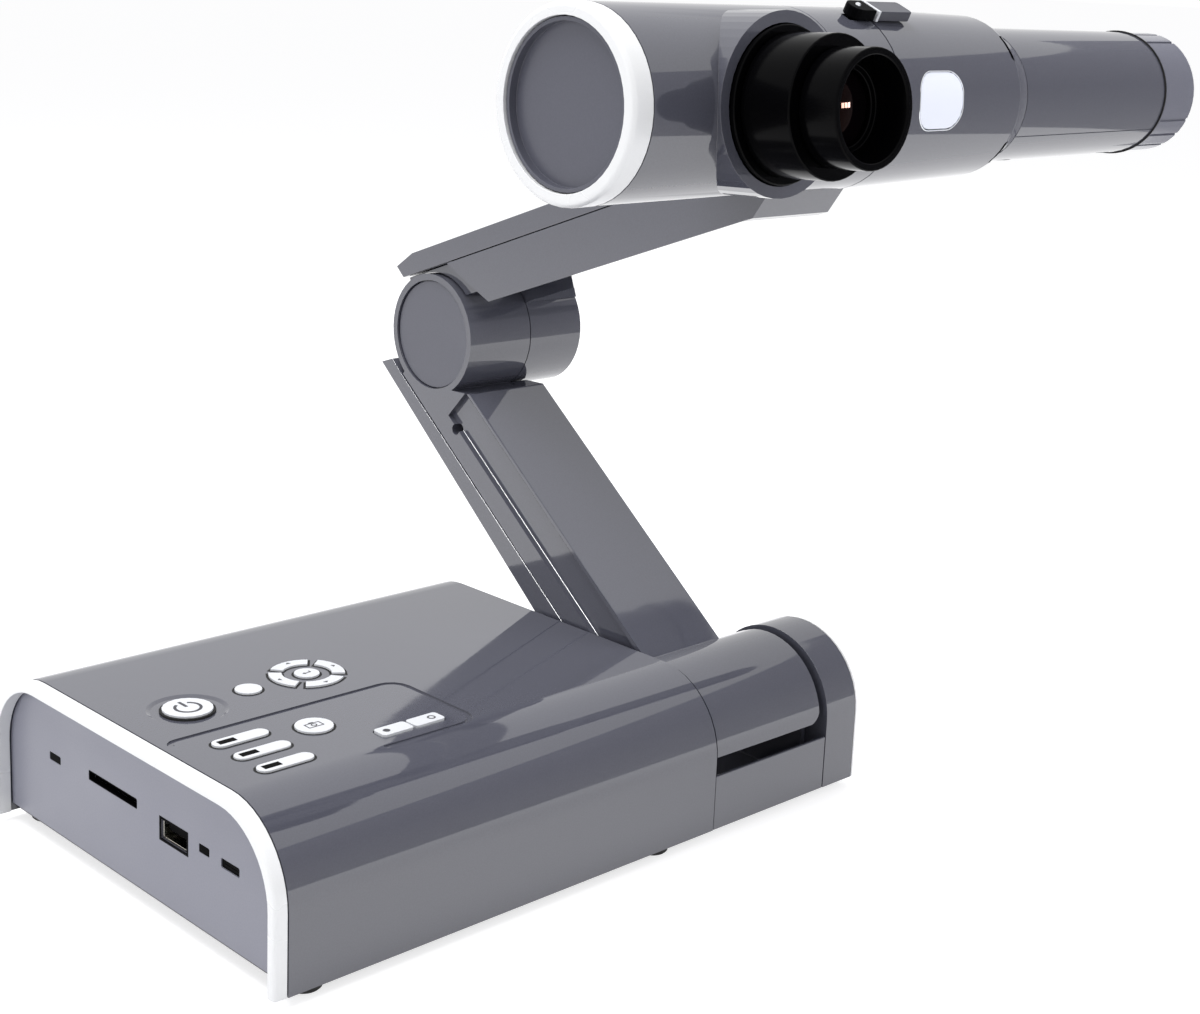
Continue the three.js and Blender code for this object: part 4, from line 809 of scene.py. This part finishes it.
# Left housing and end
# The left half of the head: a moulded tube with the lens boss on its front, closed by a lacquered
# ring and a shallow cup of satin plastic.
finished("left_housing", "head", gloss_abs, edge=0.25, axes=head_axes)
finished("end_ring", "head", silver, edge=0.2, axes=head_axes)
finished("end_disc", "head", cap_abs, edge=0.15, axes=head_axes)

# Lens
# A fixed-focus lens in a turned black mount of three steps, with a coated front element.
# The sensor's board stands behind it.
lens_lift = math.radians(2.5)
lens_inner, lens_outer = 6, 22
lens_along = Vector((0, -math.cos(lens_lift), math.sin(lens_lift)))
lens_point = Vector((middle_of("lens_front").x, head_centre.y, head_centre.z))
lens_axes = [(lens_point, lens_along, lens_inner, lens_outer)]
# Black lens mount: anodised and then lacquered, so nearly all light goes in and only edges glint.
lens_black = moulded("black_lens_lacquer", "#020203", "#040405", roughness=0.16, smear=0.03,
                     ripple=0.03, ior=1.13)
for node in ("lens_base", "lens_barrel", "lens_front"):
    finished(node, "head", lens_black, edge=0.5, axes=lens_axes)
kept("sensor_board", resist)

# Coated optical glass: black from outside, with a warm glint from its coating.
coated = bpy.data.materials.new("coated_glass")
coated.use_nodes = True
coated.node_tree.nodes.clear()
coat_mm = 9.0
place = add(coated.node_tree, "ShaderNodeTexCoord").outputs["Object"]
cloud = add(coated.node_tree, "ShaderNodeTexNoise", vector=place, scale=1 / (coat_mm * MM))
deep = add(coated.node_tree, "ShaderNodeMix", {"data_type": "RGBA"}, i0=cloud.outputs["Fac"],
           i6=linear("#020203"), i7=linear("#070306"))
front = add(coated.node_tree, "ShaderNodeBsdfPrincipled", base_color=deep.outputs[2],
            roughness=0.03, ior=1.22, specular_tint=linear("#ff9a6a"))
add(coated.node_tree, "ShaderNodeOutputMaterial", surface=front.outputs[0])

glass_radius, glass_back, glass_edge, glass_crown, dome_step = 11.5, 44.9, 0.6, 4.4, 6
glass_front = glass_back + glass_edge
dome = [(glass_radius * math.sin(math.radians(a)),
         glass_front + glass_crown * math.cos(math.radians(a))) for a in range(90, 0, -dome_step)]
glass = lathe("front_element", [(0, glass_back), (glass_radius, glass_back)] + dome
              + [(0, glass_front + glass_crown)], steps=64)
glass.transform(Matrix.Translation(lens_point)
                @ lens_along.to_track_quat("Z", "Y").to_matrix().to_4x4())
element = placed("front_element", glass, "head", coated, crease=50)
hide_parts("lens_glass")
# Three small lamps behind snoots shine on the glass alone and leave a row of warm points in it.
snooted = bpy.data.collections.new("snooted")
snooted.objects.link(element)
glint_x, glint_y, glint_z, glint_reach, glint_rise = 133, -56, 231, 420, 15
glint_size, glint_power = 0.03, 0.3
for number, turn in enumerate((-50, -45, -40), 1):
    away = math.radians(turn)
    place = (glint_x + glint_reach * math.cos(away), glint_y + glint_reach * math.sin(away),
             glint_z + glint_rise)
    glint_lamp = softbox(f"glint_lamp_{number}", place, (glint_x, glint_y, glint_z), glint_size,
                         glint_size, glint_power)
    glint_lamp.visible_diffuse = False
    glint_lamp.light_linking.receiver_collection = snooted

# Right housing
# The right half of the head: a drafted tube with a rounded shoulder, four cooling slots and the
# lamp's window, held on the hollow axle. The latch's socket is glued on, behind a white spacer.
finished("right_housing", "head", gloss_abs, edge=0.2, axes=head_axes)
tube_start, tube_radius = 187.1, 26.6
shoulder_at, shoulder_radius, shoulder_round = 247.0, 25.1, 3.0
vent_x, vent_half, vent_end_half, vent_reach = 247.6, 1.05, 0.25, 4.7
shade_top, shade_under, shade_steps = 0.15, 1.2, 12
# Black matt plates sunk just inside the cooling slots: painted shade for the slots' dark insides,
# too rough to shine.
vent_shade = moulded("black_dust_felt", "#040405", "#080809", roughness=0.85, smear=0.05,
                    ripple=0.0, ior=1.05)


def vent_point(along_tube, across, turn, depth):
    """A point in a cooling slot: along and across the tube, its turn, and how far it is sunk."""
    past = max(0.0, along_tube - shoulder_at)
    round_height = math.sqrt(max(0.0, shoulder_round ** 2 - past ** 2))
    radius = shoulder_radius - shoulder_round + round_height - depth
    height = math.sqrt(radius ** 2 - across ** 2)
    return about_head(along_tube, turn, height) + Vector(
        (0, -across * math.cos(math.radians(turn)), -across * math.sin(math.radians(turn)))) * MM


# Painted shade: one black plate just inside each of the four cooling slots.
for number, turn in enumerate((49.5, 130.5, 229.5, 310.5), 1):
    shape = bmesh.new()
    rows = []
    for i in range(shade_steps + 1):
        across = vent_reach * (2 * i / shade_steps - 1)
        past_end = max(0.0, abs(across) - vent_reach + vent_half)
        half = max(vent_end_half, math.sqrt(max(0.0, vent_half ** 2 - past_end ** 2)))
        rows.append([shape.verts.new(vent_point(vent_x + half * side, across, turn, depth))
                     for side, depth in ((-1, shade_top), (0, shade_top), (1, shade_top),
                                         (1, shade_under), (-1, shade_under))])
    for first, second in zip(rows, rows[1:]):
        for i in range(5):
            j = (i + 1) % 5
            shape.faces.new((first[i], first[j], second[j], second[i]))
    shape.faces.new(rows[0])
    shape.faces.new(rows[-1])
    name = f"vent_felt_{number}"
    placed(name, closed(name, shape), "head", vent_shade)
kept("head_axle", nylon)
# Satin acetal: darker than the tube, and dull enough to stay dark beside it.
acetal = moulded("dark_grey_acetal", "#404149", "#494a53", roughness=0.36, smear=0.04, ior=1.35)
finished("latch_socket", "head", acetal, edge=0.3)
spacer_length, spacer_half, spacer_overlap, spacer_foot, spacer_top = 1.1, 3.75, 0.25, 26.8, 30.1
spacer_x = (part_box("latch_socket")[0].x - corner.x) / MM - spacer_overlap
backwards = Vector((0, math.cos(math.radians(latch_turn)), math.sin(math.radians(latch_turn))))
shape = bmesh.new()
sides = []
for x in (spacer_x, spacer_x + spacer_length):
    sides.append([shape.verts.new(about_head(x, latch_turn, radius) + backwards * across * MM)
                  for radius, across in ((spacer_foot, -spacer_half), (spacer_top, -spacer_half),
                                         (spacer_top, spacer_half), (spacer_foot, spacer_half))])
shape.faces.new(sides[0])
shape.faces.new(sides[1])
for i in range(4):
    j = (i + 1) % 4
    shape.faces.new((sides[0][i], sides[0][j], sides[1][j], sides[1][i]))
placed("latch_spacer", closed("latch_spacer", shape), "head", white_key, edge=0.15)

# Lamp
# An opal window flush with the tube over a strip of light-emitting diodes, with a chromed edge.
# Opal acrylic: milky and cool white and softly glossy, with a faint painted glow that lifts it to
# white.
opal = moulded("opal_acrylic", "#e6eaf6", "#eaeef9", roughness=0.3, smear=0.04, ripple=0.05,
               emission_color=linear("#eef2ff"), emission_strength=0.14)
finished("lamp_window", "head", opal, edge=0.25, axes=head_axes)
kept("lamp_board", resist)
lamp_low, lamp_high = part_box("lamp_window")
lamp_x0, lamp_x1 = ((x - corner.x) / MM for x in (lamp_low.x, lamp_high.x))
lamp_z = (lamp_low.z + lamp_high.z) / 2
lamp_half = (lamp_high.z - lamp_low.z) / 2 / MM
# The chromed edge: a thin wire laid round the window, on the tube's own curve.
edge_line = bpy.data.curves.new("lamp_edge", "CURVE")
edge_line.dimensions = "3D"
edge_line.bevel_depth = 0.2 * MM
edge_line.bevel_resolution = 2
corner_inset, corner_radius, corner_steps = 6, 6.3, 8
left_x, right_x = lamp_x0 + corner_inset, lamp_x1 - corner_inset
corner_z = lamp_half - corner_inset
outline = []
for x, z, start in ((right_x, -corner_z, -90), (right_x, corner_z, 0), (left_x, corner_z, 90),
                    (left_x, -corner_z, 180)):
    outline += bow(x, z, corner_radius, start, start + 90, steps=corner_steps)
spline = edge_line.splines.new("POLY")
spline.points.add(len(outline) - 1)
spline.use_cyclic_u = True
draft = (shoulder_radius - tube_radius) / (shoulder_at - tube_start)
for point, (x, z) in zip(spline.points, outline):
    radius = (tube_radius + draft * (x - tube_start)) * MM
    height = lamp_z + z * MM
    forward = math.sqrt(radius ** 2 - (height - head_centre.z) ** 2)
    point.co = (corner.x + x * MM, head_centre.y - forward, height, 1)
edge_piece = bpy.data.objects.new("lamp_edge", edge_line)
bpy.context.scene.collection.objects.link(edge_piece)
edge_mesh = made_plain(edge_piece)
bpy.data.objects.remove(edge_piece)
placed("lamp_edge", edge_mesh, "head", chrome, crease=60)

# Grip and zoom knob
# The narrow tube that the hand turns the head by, with its mould's parting lines, and the zoom
# knob on its end, moulded with finger grooves in three groups.
finished("grip_housing", "head", gloss_abs, edge=0.2, axes=head_axes)
# Half-gloss ABS: the knob's surface is a little rougher from its spark-eroded mould.
knob_abs = moulded("half_gloss_abs", "#676874", "#71727e", roughness=0.2, smear=0.03, ior=1.6)
finished("zoom_knob", "zoom_knob", knob_abs, edge=0.2, axes=head_axes)
# A thin rubber ring in the gap between the grip and the knob keeps dust out.
grip_low, grip_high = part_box("grip_housing")
grip_half = (grip_high.z - grip_low.z) / 2 / MM
seal_outer, seal_inner, seal_back, seal_front = grip_half - 0.15, grip_half - 1.5, -0.2, 0.28
seal = lathe("knob_seal", [(seal_inner, seal_back), (seal_outer, seal_back),
                           (seal_outer, seal_front), (seal_inner, seal_front)],
             steps=96, axis="X")
seal.transform(Matrix.Translation((grip_high.x, head_centre.y, head_centre.z)))
placed("knob_seal", seal, "head", rubber)
